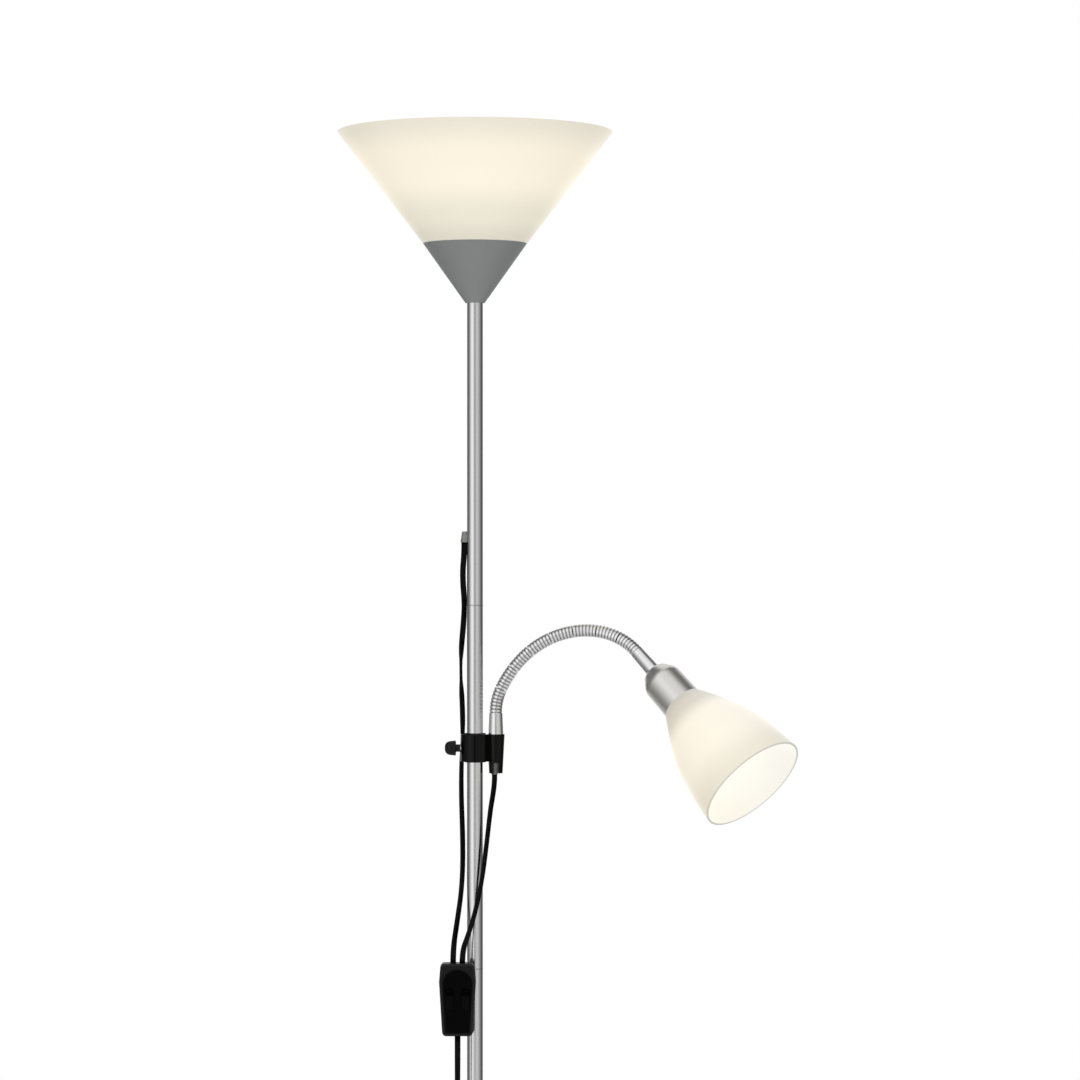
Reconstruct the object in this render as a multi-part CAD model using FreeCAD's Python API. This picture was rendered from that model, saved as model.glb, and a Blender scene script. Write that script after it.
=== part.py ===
import FreeCAD, Part
import math
import os

# Torchiere floor lamp with an upward cone shade and a reading light on a bendable arm, clamped to its pole.
# Millimetres, +Z up. Origin: the centre of the base's underside, on the pole's axis.
# The front is -Y, and the reading arm leaves the pole towards +X.

V = FreeCAD.Vector
UP = V(0, 0, 1)

# ---------------------------------------------------------------------------------------------------------
# Clearances
# ---------------------------------------------------------------------------------------------------------
FIT = 0.08              # radial running or sliding fit
SEAT = 0.2              # gap between pieces that are assembled against each other
FACE_GAP = 0.1          # between a shade's plate and what it is clamped between
PRESS = 0.02            # radial gap of a piece that is pressed in
OVERCUT = 2.0           # how far a cutting tool runs past the face that it opens
TOUCH = 0.01            # how close to a face an edge counts as lying on it

# ---------------------------------------------------------------------------------------------------------
# Base
# ---------------------------------------------------------------------------------------------------------
BASE_RADIUS = 130.0
BASE_RIM_HEIGHT = 13.0  # height of the cover's upright rim above the floor
BASE_CROWN = 20.0       # height of the cover at the pole
COVER_WALL = 1.2
COVER_SWELL_IN = 36.4   # a point of the cover's crown: how far inside the rim
COVER_SWELL_RISE = 3.9  # and how far above it
COVER_FLOOR_GAP = 0.5   # from the rim's lower edge to the floor
PAD_INSET = 4.8         # from the cover's inner side to the pad's edge
PAD_THICKNESS = 2.0
WEIGHT_INSET = 12.8     # from the cover's inner side to the weight's edge
WEIGHT_THICKNESS = 10.0
WEIGHT_BOSS_RADIUS = 24.0
WEIGHT_RECESS_RADIUS = 17.0
NUT_ACROSS_FLATS = 17.0
NUT_HEIGHT = 5.0
WASHER_RADIUS = 14.0
WASHER_THICKNESS = 1.6
COLLAR_RADIUS = 17.0
COLLAR_HEIGHT = 12.0
COLLAR_RIM = 2.5
COLLAR_WALL = 1.6
COLLAR_WAIST_OUT = 4.2  # a point of the collar's hollow side, from its bore
COLLAR_WAIST_RISE = 5.2

# ---------------------------------------------------------------------------------------------------------
# Pole
# ---------------------------------------------------------------------------------------------------------
TUBE_RADIUS = 7.5
TUBE_WALL = 1.2
TUBE_LENGTH = 334.5     # the lower tubes; a joiner's flange shows between two tubes
TOP_TUBE_LENGTH = 287.0
LOWER_TUBES = 4
JOINER_FLANGE = 1.2
JOINER_REACH = 14.0     # how far a joiner or an end bush goes into each tube
JOINER_BORE = 4.0
STUD_RADIUS = 5.0       # hollow threaded rods at both ends of the pole
STUD_BORE = 3.4

# ---------------------------------------------------------------------------------------------------------
# Top light
# ---------------------------------------------------------------------------------------------------------
CONE_HEIGHT = 55.0      # grey cone under the shade
CONE_FOOT_RADIUS = 9.0
CONE_TOP_RADIUS = 48.0
CONE_WALL = 1.5
CONE_GRIP = 8.0         # how far the pole's end stands inside the cone
SHADE_HEIGHT = 103.0
SHADE_RIM_RADIUS = 127.0
SHADE_WALL = 2.0
HOLDER_RADIUS = 18.5    # E27 lampholder
HOLDER_HEIGHT = 40.0
HOLDER_FLOOR = 14.0     # from the lampholder's lower end to the bulb's contact
HOLDER_WEB = 2.0        # solid part of that floor, above the threaded rod
HOLDER_PROUD = 1.0      # from a threaded ring to the lampholder's mouth
HOLDER_FLANGE_RADIUS = 24.0
HOLDER_FLANGE = 2.5
HOLDER_RING_RADIUS = 27.0
HOLDER_RING_HEIGHT = 5.5
HOLDER_RING_ROUND = 1.2
E27_CAP_RADIUS = 13.0
E27_CAP_LENGTH = 26.0
CAP_TIP_HEIGHT = 3.5    # end of a bulb cap: its contact, bevel and shoulder
CAP_BEVEL = 1.2
CAP_SHOULDER = 5.0
CAP_TIP_SHARE = 0.35
BULB_RADIUS = 30.0
BULB_CENTRE_RISE = 52.0  # from the cap's upper end to the globe's centre
BULB_WALL = 1.0
BULB_NECK_RADIUS = 13.5
GLOBE_ANGLE = 30.0      # from a globe's widest ring to where its neck starts
NECK_FLARE = 0.22       # middle point of a bulb's neck, as shares of its width and height
NECK_RISE = 0.45

# ---------------------------------------------------------------------------------------------------------
# Clamp and its thumbscrew
# ---------------------------------------------------------------------------------------------------------
CLAMP_LOW = 1218.0      # height of the collar's lower face
CLAMP_HEIGHT = 25.2
CLAMP_RADIUS = 13.3
LINER_WALL = 1.6
LINER_LIP = 0.7         # width and height of the liner's end lips
ARM_OFFSET = 19.3       # from the pole's axis to the socket's axis
SOCKET_TOP_RADIUS = 8.2
SOCKET_FOOT_RADIUS = 6.3
SOCKET_DROP = 11.0      # how far the socket reaches below the collar
WEB_HALF_WIDTH = 6.0
CLAMP_EDGE = 0.7
SLOT_WIDTH = 4.8
INSERT_SEAT_DROP = 1.0  # from the collar's lower face to the strain relief's seat
INSERT_TOP_RADIUS = 4.6
INSERT_FOOT_RADIUS = 3.0
INSERT_LEAN = -1.2      # sideways step of the strain relief's mouth
INSERT_PROUD = 1.2
SCREW_RISE = 12.2       # height of the screw's axis above the collar's lower face
SCREW_RADIUS = 2.5
SCREW_NUT_RADIUS = 4.0
SCREW_NUT_SINK = 0.6    # from the collar's outside to the nut, and from the nut to its bore
SCREW_NUT_CLEAR = 0.3
KNOB_RADIUS = 6.9
KNOB_LENGTH = 10.6
KNOB_NECK_RADIUS = 3.5
KNOB_NECK_LENGTH = 3.6
KNOB_GAP = 0.5
KNOB_SOCKET = 6.4       # how deep the screw sits in the knob's head
KNOB_PLAY = 0.03
KNOB_CHAMFER = 0.4
KNOB_BAND = 1.4         # where the head starts to narrow
KNOB_SHOULDER = 5.3     # where its dome starts
KNOB_TAPER = 0.35
KNOB_CROWN_IN = 2.6     # a point of the dome, from the head's side and its end
KNOB_CROWN_SINK = 0.9
KNOB_SHOULDER_SLOPE = 0.1   # how much the dome narrows per length at its shoulder
KNOB_FLUTES = 8
FLUTE_RADIUS = 1.6
FLUTE_DEPTH = 0.6

# ---------------------------------------------------------------------------------------------------------
# Bendable arm: equal ribbed segments, each an arc between two directions
# ---------------------------------------------------------------------------------------------------------
SLEEVE_HEIGHT = 20.0    # lower sleeve above the clamp
SLEEVE_FOOT_RADIUS = 7.0
SLEEVE_TOP_RADIUS = 6.2
SLEEVE_SHANK_RADIUS = 5.2
SLEEVE_SHANK = 18.0     # how deep the sleeve sits in the socket
SLEEVE_CHAMFER = 0.5
HOSE_RADIUS = 5.9       # over the ribs
HOSE_ROOT_RADIUS = 5.4
HOSE_BORE_RADIUS = 3.5
RIB_PITCH = 3.2
RIBS_PER_SEGMENT = 7
RIB_GROOVE = 0.8
RIB_FLANK = 0.3
SEGMENT_GAP = 1.1
SPIGOT_RADIUS = 2.9
SPIGOT_BORE = 2.1
SPIGOT_REACH = 1.6      # into the next segment
SPIGOT_WEB = 1.6
# Elevation and heading, in degrees, of the arm's centre line at the ends of its segments
HOSE_DIRECTIONS = [
    (90.0, 7.0),
    (64.6, 7.0),
    (52.6, 7.0),
    (39.4, 7.0),
    (24.4, 7.5),
    (9.2, 9.5),
    (-7.6, 15.0),
    (-25.5, 24.0),
    (-41.9, 38.0),
]

# ---------------------------------------------------------------------------------------------------------
# Reading light, along its own axis from the arm's end
# ---------------------------------------------------------------------------------------------------------
NOSE_SLEEVE_LENGTH = 25.5
NOSE_SLEEVE_RADIUS = 6.8
NOSE_SHANK = 14.0       # how far the sleeve reaches through the cover into the lampholder
COVER_RADIUS = 19.0     # metal cover over the lampholder
COVER_SHOULDER_RADIUS = 18.4
COVER_LENGTH = 43.5
COVER_DOME = 16.0
DOME_FLAT = 1.5         # flat ring round the dome's hole
DOME_HAUNCH_IN = 3.9    # a point of the dome, from its shoulder's side and its top
DOME_HAUNCH_DROP = 6.2
DOME_SLOPE = 0.05       # fall of the dome per width where it leaves the flat ring
HOOD_WALL = 1.0
E14_HOLDER_RADIUS = 14.0
E14_HOLDER_LENGTH = 42.5
E14_FLOOR = 17.5
E14_CAP_RADIUS = 7.0
E14_CAP_LENGTH = 25.0
BELL_LENGTH = 104.0
BELL_WALL = 2.0
BELL_NECK_RADIUS = 19.2
BELL_RIM_RADIUS = 51.6
BELL_RING_HEIGHT = 5.0
BELL_RING_WIDTH = 3.0
BELL_STEPS = [6.5, 18.5, 34.5, 54.5, 78.5]      # outline between the neck and the rim: along the axis
BELL_RADII = [22.9, 29.3, 36.9, 43.8, 48.4]
READING_BULB_RADIUS = 22.5
READING_BULB_RISE = 34.0
READING_BULB_NECK_RADIUS = 10.5

# ---------------------------------------------------------------------------------------------------------
# Cords, switch and plug
# ---------------------------------------------------------------------------------------------------------
CORD_WIDTH = 5.4        # flat twin cord, 5.4 x 3.2
CORD_RADIUS = 2.15      # its plain round tube
CORD_LIFT = 0.05        # lowest cord surface above the floor
CORD_BEND_SHARE = 0.45  # share of the shorter run beside a bend that its arc takes
COIL_CHECK_STEP = 1.5   # between the points that measure the coil's gaps
OUTLET_RISE = 62.7      # from the top tube's foot to the cord outlet
OUTLET_LENGTH = 10.0
OUTLET_RADIUS = 3.0
OUTLET_PROUD = 2.5      # from the pole's side to the cord's axis
SPOUT_FOOT_RADIUS = 3.9
SPOUT_TOP_RADIUS = 2.4
SPOUT_SHIFT = 0.4
INNER_CORD_RUN = 65.0   # the cord inside the pole: along the wall, and as far again to the middle
SWITCH_X = -15.7
SWITCH_TOP = 1033.6
SWITCH_LENGTH = 66.5
SWITCH_TOP_HALF = 15.6
SWITCH_WIDE_HALF = 16.9
SWITCH_FOOT_HALF = 13.9
SWITCH_WIDE_DROP = 17.0
SWITCH_CORNER = 4.0
SWITCH_EDGE = 2.5
SHELL_GAP = 0.05        # from the split to each shell
SWITCH_BACK_Y = -9.5
SWITCH_SPLIT_Y = -18.5
SWITCH_FACE_Y = -29.0
SWITCH_WALL = 1.8
PLATEAU_RISE = 1.8
PLATEAU_DROP = 5.2
PLATEAU_HALF = 13.6
PLATEAU_FOOT_HALF = 11.0
PLATEAU_FOOT_RISE = 3.0
PLATEAU_EDGE = 1.0
ROCKER_OFFSET = 7.5
ROCKER_WIDTH = 7.2
ROCKER_HEIGHT = 18.0
ROCKER_DEPTH = 6.0
ROCKER_PROUD = 1.6
ROCKER_DROP = 31.9      # from the switch's top to the rockers' pivots
ROCKER_TILT = 6.0
ROCKER_GAP = 0.5
ROCKER_ROUND = 2.2
SCOOP_DEPTH = 1.0
PIVOT_RADIUS = 1.0
PIVOT_PLAY = 0.05
SHELL_SCREW_RADIUS = 1.3
SHELL_SCREW_LENGTH = 9.0
SHELL_SCREW_TOP_DROP = 10.0
SHELL_SCREW_FOOT_RISE = 11.0
SHELL_SCREW_SINK = 3.2  # from the back's outside to the underside of the screw's head
SCREW_HEAD_RADIUS = 2.6
SCREW_HEAD_HEIGHT = 1.4
BOSS_RADIUS = 4.4
TERMINAL_WIDTH = 5.0
TERMINAL_HEIGHT = 8.0
TERMINAL_DEPTH = 6.5
TERMINAL_RISE = 12.0    # from the rockers' pivots to a terminal's middle
CORD_PINCH = 0.4        # how much narrower than the cord its entry is
LAMP_CORD_OFFSET = -4.1     # where the cords enter the switch, from its centre line
READING_CORD_OFFSET = 4.4
LAMP_ROUTE = [
    (-10.0, 0.0, 1409.0),
    (-11.8, 3.4, 1390.0),
    (-9.3, 6.4, 1359.0),
    (-14.3, 11.5, 1310.0),
    (-11.0, 17.0, 1252.0),
    (-13.7, 19.0, 1200.0),
    (-11.2, 14.0, 1136.0),
    (-12.2, 3.5, 1100.0),
    (-16.4, -9.2, 1070.0),
    (-19.8, -18.5, 1047.3),
]
READING_TOP_ROUTE = [
    (18.1, 0.0, 1199.0),
    (16.7, -0.9, 1187.5),
    (14.3, -2.6, 1173.5),
    (12.8, -4.3, 1160.0),
]
READING_ROUTE = [
    (10.6, -6.8, 1140.2),
    (6.9, -12.0, 1110.0),
    (0.6, -15.5, 1080.0),
    (-6.0, -17.4, 1059.0),
    (-11.3, -18.5, 1044.8),
]
SUPPLY_ROUTE = [
    (-15.7, -18.5, 925.0),
    (-16.2, -16.8, 860.0),
    (-17.6, -13.6, 785.0),
    (-19.4, -9.6, 710.0),
    (-21.8, -4.4, 635.0),
    (-24.8, 2.2, 560.0),
    (-28.6, 10.4, 485.0),
    (-33.4, 20.6, 410.0),
    (-39.4, 33.2, 336.0),
    (-47.0, 48.8, 265.0),
    (-56.5, 68.0, 199.0),
    (-68.0, 91.0, 141.0),
    (-80.5, 117.0, 93.0),
    (-93.0, 145.0, 54.0),
    (-103.0, 173.0, 24.0),
    (-110.0, 201.0, 7.5),
]
SUPPLY_LANDING = (-112.5, 226.0)
SUPPLY_END = (-112.5, 249.0)
COIL_INNER_RADIUS = 26.0
COIL_HALF_TURNS_IN = 3  # half turns of the lower layer; the upper layer has as many
COIL_STEP = 5.6         # between two loops of a layer
COIL_LAYER = 5.0
TIE_WALL = 0.9
TIE_WIDTH = 4.0
TIE_GAP = 0.6
TIE_ROUND = 1.5
PLUG_RELIEF = 22.0
PLUG_RELIEF_START = 0.4     # how much wider than the cord the relief starts and ends
PLUG_RELIEF_END = 2.4
PLUG_BODY = 36.0
PLUG_NECK_HALF_WIDTH = 6.5
PLUG_WIDE_FROM = 11.0
PLUG_WIDE_TO = 22.0
PLUG_HALF_WIDTH = 17.6
PLUG_FACE_HALF_WIDTH = 13.0
PLUG_THICKNESS = 13.7
PLUG_EDGE = 2.5
PIN_RADIUS = 2.0
PIN_LENGTH = 19.0
PIN_SPACING = 18.6
PIN_ROUND = 1.0

# ---------------------------------------------------------------------------------------------------------
# Places that follow from the sizes
# ---------------------------------------------------------------------------------------------------------
TUBE_BORE_RADIUS = TUBE_RADIUS - TUBE_WALL
TUBE_PITCH = TUBE_LENGTH + JOINER_FLANGE
POLE_FOOT = BASE_CROWN
TOP_TUBE_FOOT = POLE_FOOT + LOWER_TUBES * TUBE_PITCH
POLE_TOP = TOP_TUBE_FOOT + TOP_TUBE_LENGTH
CONE_FOOT = POLE_TOP - CONE_GRIP
CONE_TOP = CONE_FOOT + CONE_HEIGHT
SHADE_FLOOR_TOP = CONE_TOP + SHADE_WALL
HOLDER_FLANGE_LOW = CONE_TOP - HOLDER_FLANGE
HOLDER_TOP = SHADE_FLOOR_TOP + HOLDER_RING_HEIGHT + HOLDER_PROUD
HOLDER_LOW = HOLDER_TOP - HOLDER_HEIGHT
HOLDER_HOLE_TOP = HOLDER_LOW + HOLDER_FLOOR - HOLDER_WEB
BULB_FOOT = HOLDER_TOP + SEAT - E27_CAP_LENGTH
BULB_GLASS_FOOT = BULB_FOOT + E27_CAP_LENGTH
COVER_BORE_RADIUS = BASE_RADIUS - COVER_WALL
PAD_RADIUS = COVER_BORE_RADIUS - PAD_INSET
WEIGHT_RADIUS = COVER_BORE_RADIUS - WEIGHT_INSET
WEIGHT_LOW = PAD_THICKNESS
WEIGHT_TOP = WEIGHT_LOW + WEIGHT_THICKNESS
LINER_BORE = TUBE_RADIUS + FIT
LINER_RADIUS = LINER_BORE + LINER_WALL
CLAMP_BORE = LINER_RADIUS + FIT
CLAMP_TOP = CLAMP_LOW + CLAMP_HEIGHT
SCREW_Z = CLAMP_LOW + SCREW_RISE
SOCKET_LOW = CLAMP_LOW - SOCKET_DROP
INSERT_SEAT = CLAMP_LOW - INSERT_SEAT_DROP
HOSE_FOOT = CLAMP_TOP + SLEEVE_HEIGHT
SEGMENT_LENGTH = RIBS_PER_SEGMENT * RIB_PITCH
OUTLET_HEIGHT = TOP_TUBE_FOOT + OUTLET_RISE
READING_NECK = NOSE_SLEEVE_LENGTH + COVER_LENGTH
READING_MOUTH = READING_NECK + BELL_WALL + BELL_RING_HEIGHT + HOLDER_PROUD
READING_BULB_FOOT = READING_MOUTH + SEAT - E14_CAP_LENGTH
READING_GLASS_FOOT = READING_BULB_FOOT + E14_CAP_LENGTH
SWITCH_FOOT = SWITCH_TOP - SWITCH_LENGTH
SWITCH_ROOM_Y = SWITCH_BACK_Y - SWITCH_WALL
SHELL_SCREW_HEIGHTS = (SWITCH_TOP - SHELL_SCREW_TOP_DROP, SWITCH_FOOT + SHELL_SCREW_FOOT_RISE)
SHELL_SCREW_SEAT = SWITCH_BACK_Y - SHELL_SCREW_SINK
ROCKER_Z = SWITCH_TOP - ROCKER_DROP
PLATEAU_Y = SWITCH_FACE_Y - PLATEAU_RISE
CORD_FLOOR_Z = CORD_RADIUS + CORD_LIFT
COIL_OUTER_RADIUS = COIL_INNER_RADIUS + COIL_HALF_TURNS_IN * COIL_STEP / 2
COIL_CENTRE = V(SUPPLY_END[0] + COIL_OUTER_RADIUS, SUPPLY_END[1] + CORD_WIDTH, CORD_FLOOR_Z)


# ---------------------------------------------------------------------------------------------------------
# Shared shapes
# ---------------------------------------------------------------------------------------------------------
def rod(radius, low, high, x=0.0, y=0.0):
    """Upright cylinder."""
    return Part.makeCylinder(radius, high - low, V(x, y, low))


def pipe(outer, inner, low, high, x=0.0, y=0.0):
    """Upright tube."""
    bore = rod(inner, low - OVERCUT, high + OVERCUT, x, y)
    return rod(outer, low, high, x, y).cut(bore)


def turned(edges):
    """Solid of revolution about Z from a closed outline of edges in the XZ plane."""
    face = Part.Face(Part.Wire(Part.__sortEdges__(edges)))
    return face.revolve(V(0, 0, 0), UP, 360)


def lines(points):
    """Straight edges through (radius, height) points."""
    spots = [V(radius, 0, height) for radius, height in points]
    return [Part.makeLine(a, b) for a, b in zip(spots, spots[1:])]


def curve(points, start_slope=None, end_slope=None):
    """One smooth edge through (radius, height) points."""
    spline = Part.BSplineCurve()
    spots = [V(radius, 0, height) for radius, height in points]
    if start_slope and end_slope:
        spline.interpolate(spots, InitialTangent=V(start_slope[0], 0, start_slope[1]),
                           FinalTangent=V(end_slope[0], 0, end_slope[1]))
    else:
        spline.interpolate(spots)
    return spline.toShape()


def arc(start, middle, end):
    """Arc edge through three (radius, height) points."""
    spots = [V(radius, 0, height) for radius, height in (start, middle, end)]
    return Part.Arc(*spots).toShape()


def turned_polygon(points):
    """Solid of revolution about Z from straight runs between (radius, height) points."""
    return turned(lines(points + points[:1]))


def block(x0, x1, y0, y1, z0, z1):
    """Box between two corners."""
    return Part.makeBox(x1 - x0, y1 - y0, z1 - z0, V(x0, y0, z0))


def inset(points, wall):
    """Inner points of an outline, moved inwards square to the run through their neighbours."""
    moved = []
    for before, here, after in zip(points, points[1:], points[2:]):
        out = after[0] - before[0]
        up = after[1] - before[1]
        run = math.hypot(out, up)
        moved.append((here[0] - wall * up / run, here[1] + wall * out / run))
    return moved


def rounded(shape, radius, wanted):
    """Fillet the edges that the test picks."""
    return shape.makeFillet(radius, [edge for edge in shape.Edges if wanted(edge)])


def direction(elevation, heading):
    """Unit vector from angles in degrees; a positive heading turns towards the front."""
    rise = math.radians(elevation)
    turn = math.radians(heading)
    return V(math.cos(rise) * math.cos(turn), -math.cos(rise) * math.sin(turn), math.sin(rise))


def corner_arc(start, corner, end):
    """Arc from start to end whose end tangents meet at the corner, equally far from both."""
    reach = (start - corner).Length
    inward = ((start + end) * 0.5 - corner)
    half = inward.Length
    cosine = half / reach
    sine = math.sqrt(1 - cosine * cosine)
    apex = reach * (1 - sine) / cosine
    middle = corner + inward * (apex / half)
    return Part.Arc(start, middle, end).toShape(), reach * sine / cosine


def swept_tube(edges, radius):
    """Round tube along tangent edges, and the length of its path."""
    path = Part.Wire(edges)
    first = edges[0]
    heading = first.tangentAt(first.FirstParameter)
    section = Part.Wire([Part.makeCircle(radius, first.valueAt(first.FirstParameter), heading)])
    return path.makePipeShell([section], True, False), path.Length


def cord(name, points):
    """Tube along straight runs joined by arcs as large as the runs allow."""
    spots = [V(*point) for point in points]
    edges = []
    radii = []
    here = spots[0]
    for before, corner, after in zip(spots, spots[1:], spots[2:]):
        inward = (before - corner).normalize()
        outward = (after - corner).normalize()
        reach = CORD_BEND_SHARE * min((before - corner).Length, (after - corner).Length)
        bend, radius = corner_arc(corner + inward * reach, corner, corner + outward * reach)
        edges.append(Part.LineSegment(here, corner + inward * reach).toShape())
        edges.append(bend)
        radii.append(radius)
        here = corner + outward * reach
    edges.append(Part.LineSegment(here, spots[-1]).toShape())
    solid, length = swept_tube(edges, CORD_RADIUS)
    ratio = solid.Volume / (math.pi * CORD_RADIUS ** 2 * length)
    print(name, "length", round(length, 1), "radii", [round(radius) for radius in radii],
          "volume ratio", round(ratio, 4))
    return solid


# ---------------------------------------------------------------------------------------------------------
# Base
# ---------------------------------------------------------------------------------------------------------
def base_pad():
    """Full foam disc that the lamp stands on."""
    return rod(PAD_RADIUS, 0, PAD_THICKNESS)


def base_weight():
    """Cast disc under the cover, with a boss that the cover's middle rests on and a recess for the nut."""
    disc = rod(WEIGHT_RADIUS, WEIGHT_LOW, WEIGHT_TOP)
    boss = rod(WEIGHT_BOSS_RADIUS, WEIGHT_LOW, BASE_CROWN - COVER_WALL)
    disc = disc.fuse(boss).removeSplitter()
    hole = rod(STUD_RADIUS + SEAT, WEIGHT_LOW - OVERCUT, BASE_CROWN)
    recess_top = WEIGHT_LOW + NUT_HEIGHT + WASHER_THICKNESS + SEAT
    recess = rod(WEIGHT_RECESS_RADIUS, WEIGHT_LOW - OVERCUT, recess_top)
    return disc.cut(hole).cut(recess)


def base_cover():
    """Thin low dome with an upright rim."""
    crest = (WEIGHT_BOSS_RADIUS, BASE_CROWN)
    swell = (BASE_RADIUS - COVER_SWELL_IN, BASE_RIM_HEIGHT + COVER_SWELL_RISE)
    outer = [(BASE_RADIUS, BASE_RIM_HEIGHT), swell, crest]
    inner = [(radius, height - COVER_WALL) for radius, height in outer]
    inner[0] = (COVER_BORE_RADIUS, BASE_RIM_HEIGHT - COVER_WALL)
    hole = STUD_RADIUS + SEAT
    edges = [curve(outer), curve(inner)]
    edges += lines([crest, (hole, BASE_CROWN), (hole, inner[2][1]), inner[2]])
    edges += lines([inner[0], (COVER_BORE_RADIUS, COVER_FLOOR_GAP), (BASE_RADIUS, COVER_FLOOR_GAP), outer[0]])
    return turned(edges)


def base_nut():
    """Hexagon nut in the weight's recess."""
    corner = NUT_ACROSS_FLATS / math.sqrt(3)
    turns = [math.radians(60 * side) for side in range(7)]
    outline = [V(corner * math.cos(turn), corner * math.sin(turn), WEIGHT_LOW) for turn in turns]
    prism = Part.Face(Part.makePolygon(outline)).extrude(UP * NUT_HEIGHT)
    return prism.cut(rod(STUD_RADIUS + FIT, WEIGHT_LOW - OVERCUT, WEIGHT_TOP))


def base_washer():
    """Wide washer between the nut and the weight."""
    low = WEIGHT_LOW + NUT_HEIGHT
    return pipe(WASHER_RADIUS, STUD_RADIUS + SEAT, low, low + WASHER_THICKNESS)


def base_stud():
    """Hollow threaded rod from the nut into the lowest tube."""
    return pipe(STUD_RADIUS, STUD_BORE, WEIGHT_LOW, POLE_FOOT + JOINER_REACH)


def base_collar():
    """Bell-shaped collar round the foot of the pole."""
    bore = TUBE_RADIUS + FIT
    rim = (COLLAR_RADIUS, BASE_CROWN + COLLAR_RIM)
    waist = (bore + COLLAR_WAIST_OUT, BASE_CROWN + COLLAR_WAIST_RISE)
    top = (bore + COLLAR_WALL, BASE_CROWN + COLLAR_HEIGHT)
    edges = [arc(rim, waist, top)]
    edges += lines([top, (bore, top[1]), (bore, BASE_CROWN), (COLLAR_RADIUS, BASE_CROWN), rim])
    return turned(edges)


# ---------------------------------------------------------------------------------------------------------
# Pole
# ---------------------------------------------------------------------------------------------------------
def pole_tube(index):
    """Tube by its place from the floor, counted from 0. The top one has the cord outlet's hole."""
    low = POLE_FOOT + index * TUBE_PITCH
    length = TOP_TUBE_LENGTH if index == LOWER_TUBES else TUBE_LENGTH
    solid = pipe(TUBE_RADIUS, TUBE_BORE_RADIUS, low, low + length)
    if index == LOWER_TUBES:
        start = V(-TUBE_RADIUS - OVERCUT, 0, OUTLET_HEIGHT)
        hole = Part.makeCylinder(OUTLET_RADIUS, TUBE_RADIUS + OVERCUT, start, V(1, 0, 0))
        solid = solid.cut(hole)
    return solid


def pole_joiners():
    """Joiners, each a hollow spigot with a flange as wide as the tubes."""
    solids = []
    for index in range(LOWER_TUBES):
        flange_low = POLE_FOOT + index * TUBE_PITCH + TUBE_LENGTH
        flange_top = flange_low + JOINER_FLANGE
        spigot = rod(TUBE_BORE_RADIUS - FIT, flange_low - JOINER_REACH, flange_top + JOINER_REACH)
        flange = rod(TUBE_RADIUS, flange_low, flange_top)
        bore = rod(JOINER_BORE, flange_low - 2 * JOINER_REACH, flange_top + 2 * JOINER_REACH)
        solids.append(spigot.fuse(flange).cut(bore).removeSplitter())
    return Part.makeCompound(solids)


def pole_end_bushes():
    """Threaded bushes in the pole's two ends, for the hollow rods."""
    outer = TUBE_BORE_RADIUS - FIT
    inner = STUD_RADIUS + FIT
    foot = pipe(outer, inner, POLE_FOOT, POLE_FOOT + JOINER_REACH)
    top = pipe(outer, inner, POLE_TOP - JOINER_REACH, POLE_TOP)
    return Part.makeCompound([foot, top])


def cord_grommet():
    """Spout on the pole's left side whose mouth points down."""
    axis_x = -TUBE_RADIUS - OUTLET_PROUD
    low = OUTLET_HEIGHT - OUTLET_LENGTH / 2
    high = OUTLET_HEIGHT + OUTLET_LENGTH / 2
    spout = Part.makeCone(SPOUT_FOOT_RADIUS, SPOUT_TOP_RADIUS, high - low, V(axis_x + SPOUT_SHIFT, 0, low))
    shank = Part.makeCylinder(OUTLET_RADIUS - FIT, -axis_x, V(axis_x, 0, OUTLET_HEIGHT), V(1, 0, 0))
    clear = rod(TUBE_RADIUS + PRESS, low - OVERCUT, high + OVERCUT)
    wedge = rod(TUBE_BORE_RADIUS, low - OVERCUT, high + OVERCUT)
    return spout.cut(clear).fuse(shank.cut(wedge)).removeSplitter()


def inner_cord():
    """The cord inside the pole: along the wall from the outlet, then up the middle to the lampholder."""
    side = CORD_RADIUS + CORD_LIFT - TUBE_BORE_RADIUS
    return cord("inner_cord", [
        (side, 0, OUTLET_HEIGHT - CORD_RADIUS),
        (side, 0, OUTLET_HEIGHT + INNER_CORD_RUN),
        (0, 0, OUTLET_HEIGHT + 2 * INNER_CORD_RUN),
        (0, 0, HOLDER_HOLE_TOP),
    ])


# ---------------------------------------------------------------------------------------------------------
# Top light
# ---------------------------------------------------------------------------------------------------------
def cone_cap():
    """Hollow grey cone that carries the shade."""
    floor = CONE_FOOT + CONE_GRIP
    slope = (CONE_TOP_RADIUS - CONE_FOOT_RADIUS) / CONE_HEIGHT
    step = CONE_WALL * math.hypot(1, slope)
    floor_radius = CONE_FOOT_RADIUS + slope * (floor + CONE_WALL - CONE_FOOT) - step
    bore = TUBE_RADIUS + FIT
    return turned_polygon([
        (bore, CONE_FOOT),
        (CONE_FOOT_RADIUS, CONE_FOOT),
        (CONE_TOP_RADIUS, CONE_TOP),
        (CONE_TOP_RADIUS - step, CONE_TOP),
        (floor_radius, floor + CONE_WALL),
        (STUD_RADIUS + SEAT, floor + CONE_WALL),
        (STUD_RADIUS + SEAT, floor),
        (bore, floor),
    ])


def top_nipple():
    """Hollow threaded rod from the pole's top through the cone into the lampholder."""
    return pipe(STUD_RADIUS, STUD_BORE, POLE_TOP - JOINER_REACH + SEAT, HOLDER_HOLE_TOP - SEAT)


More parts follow.
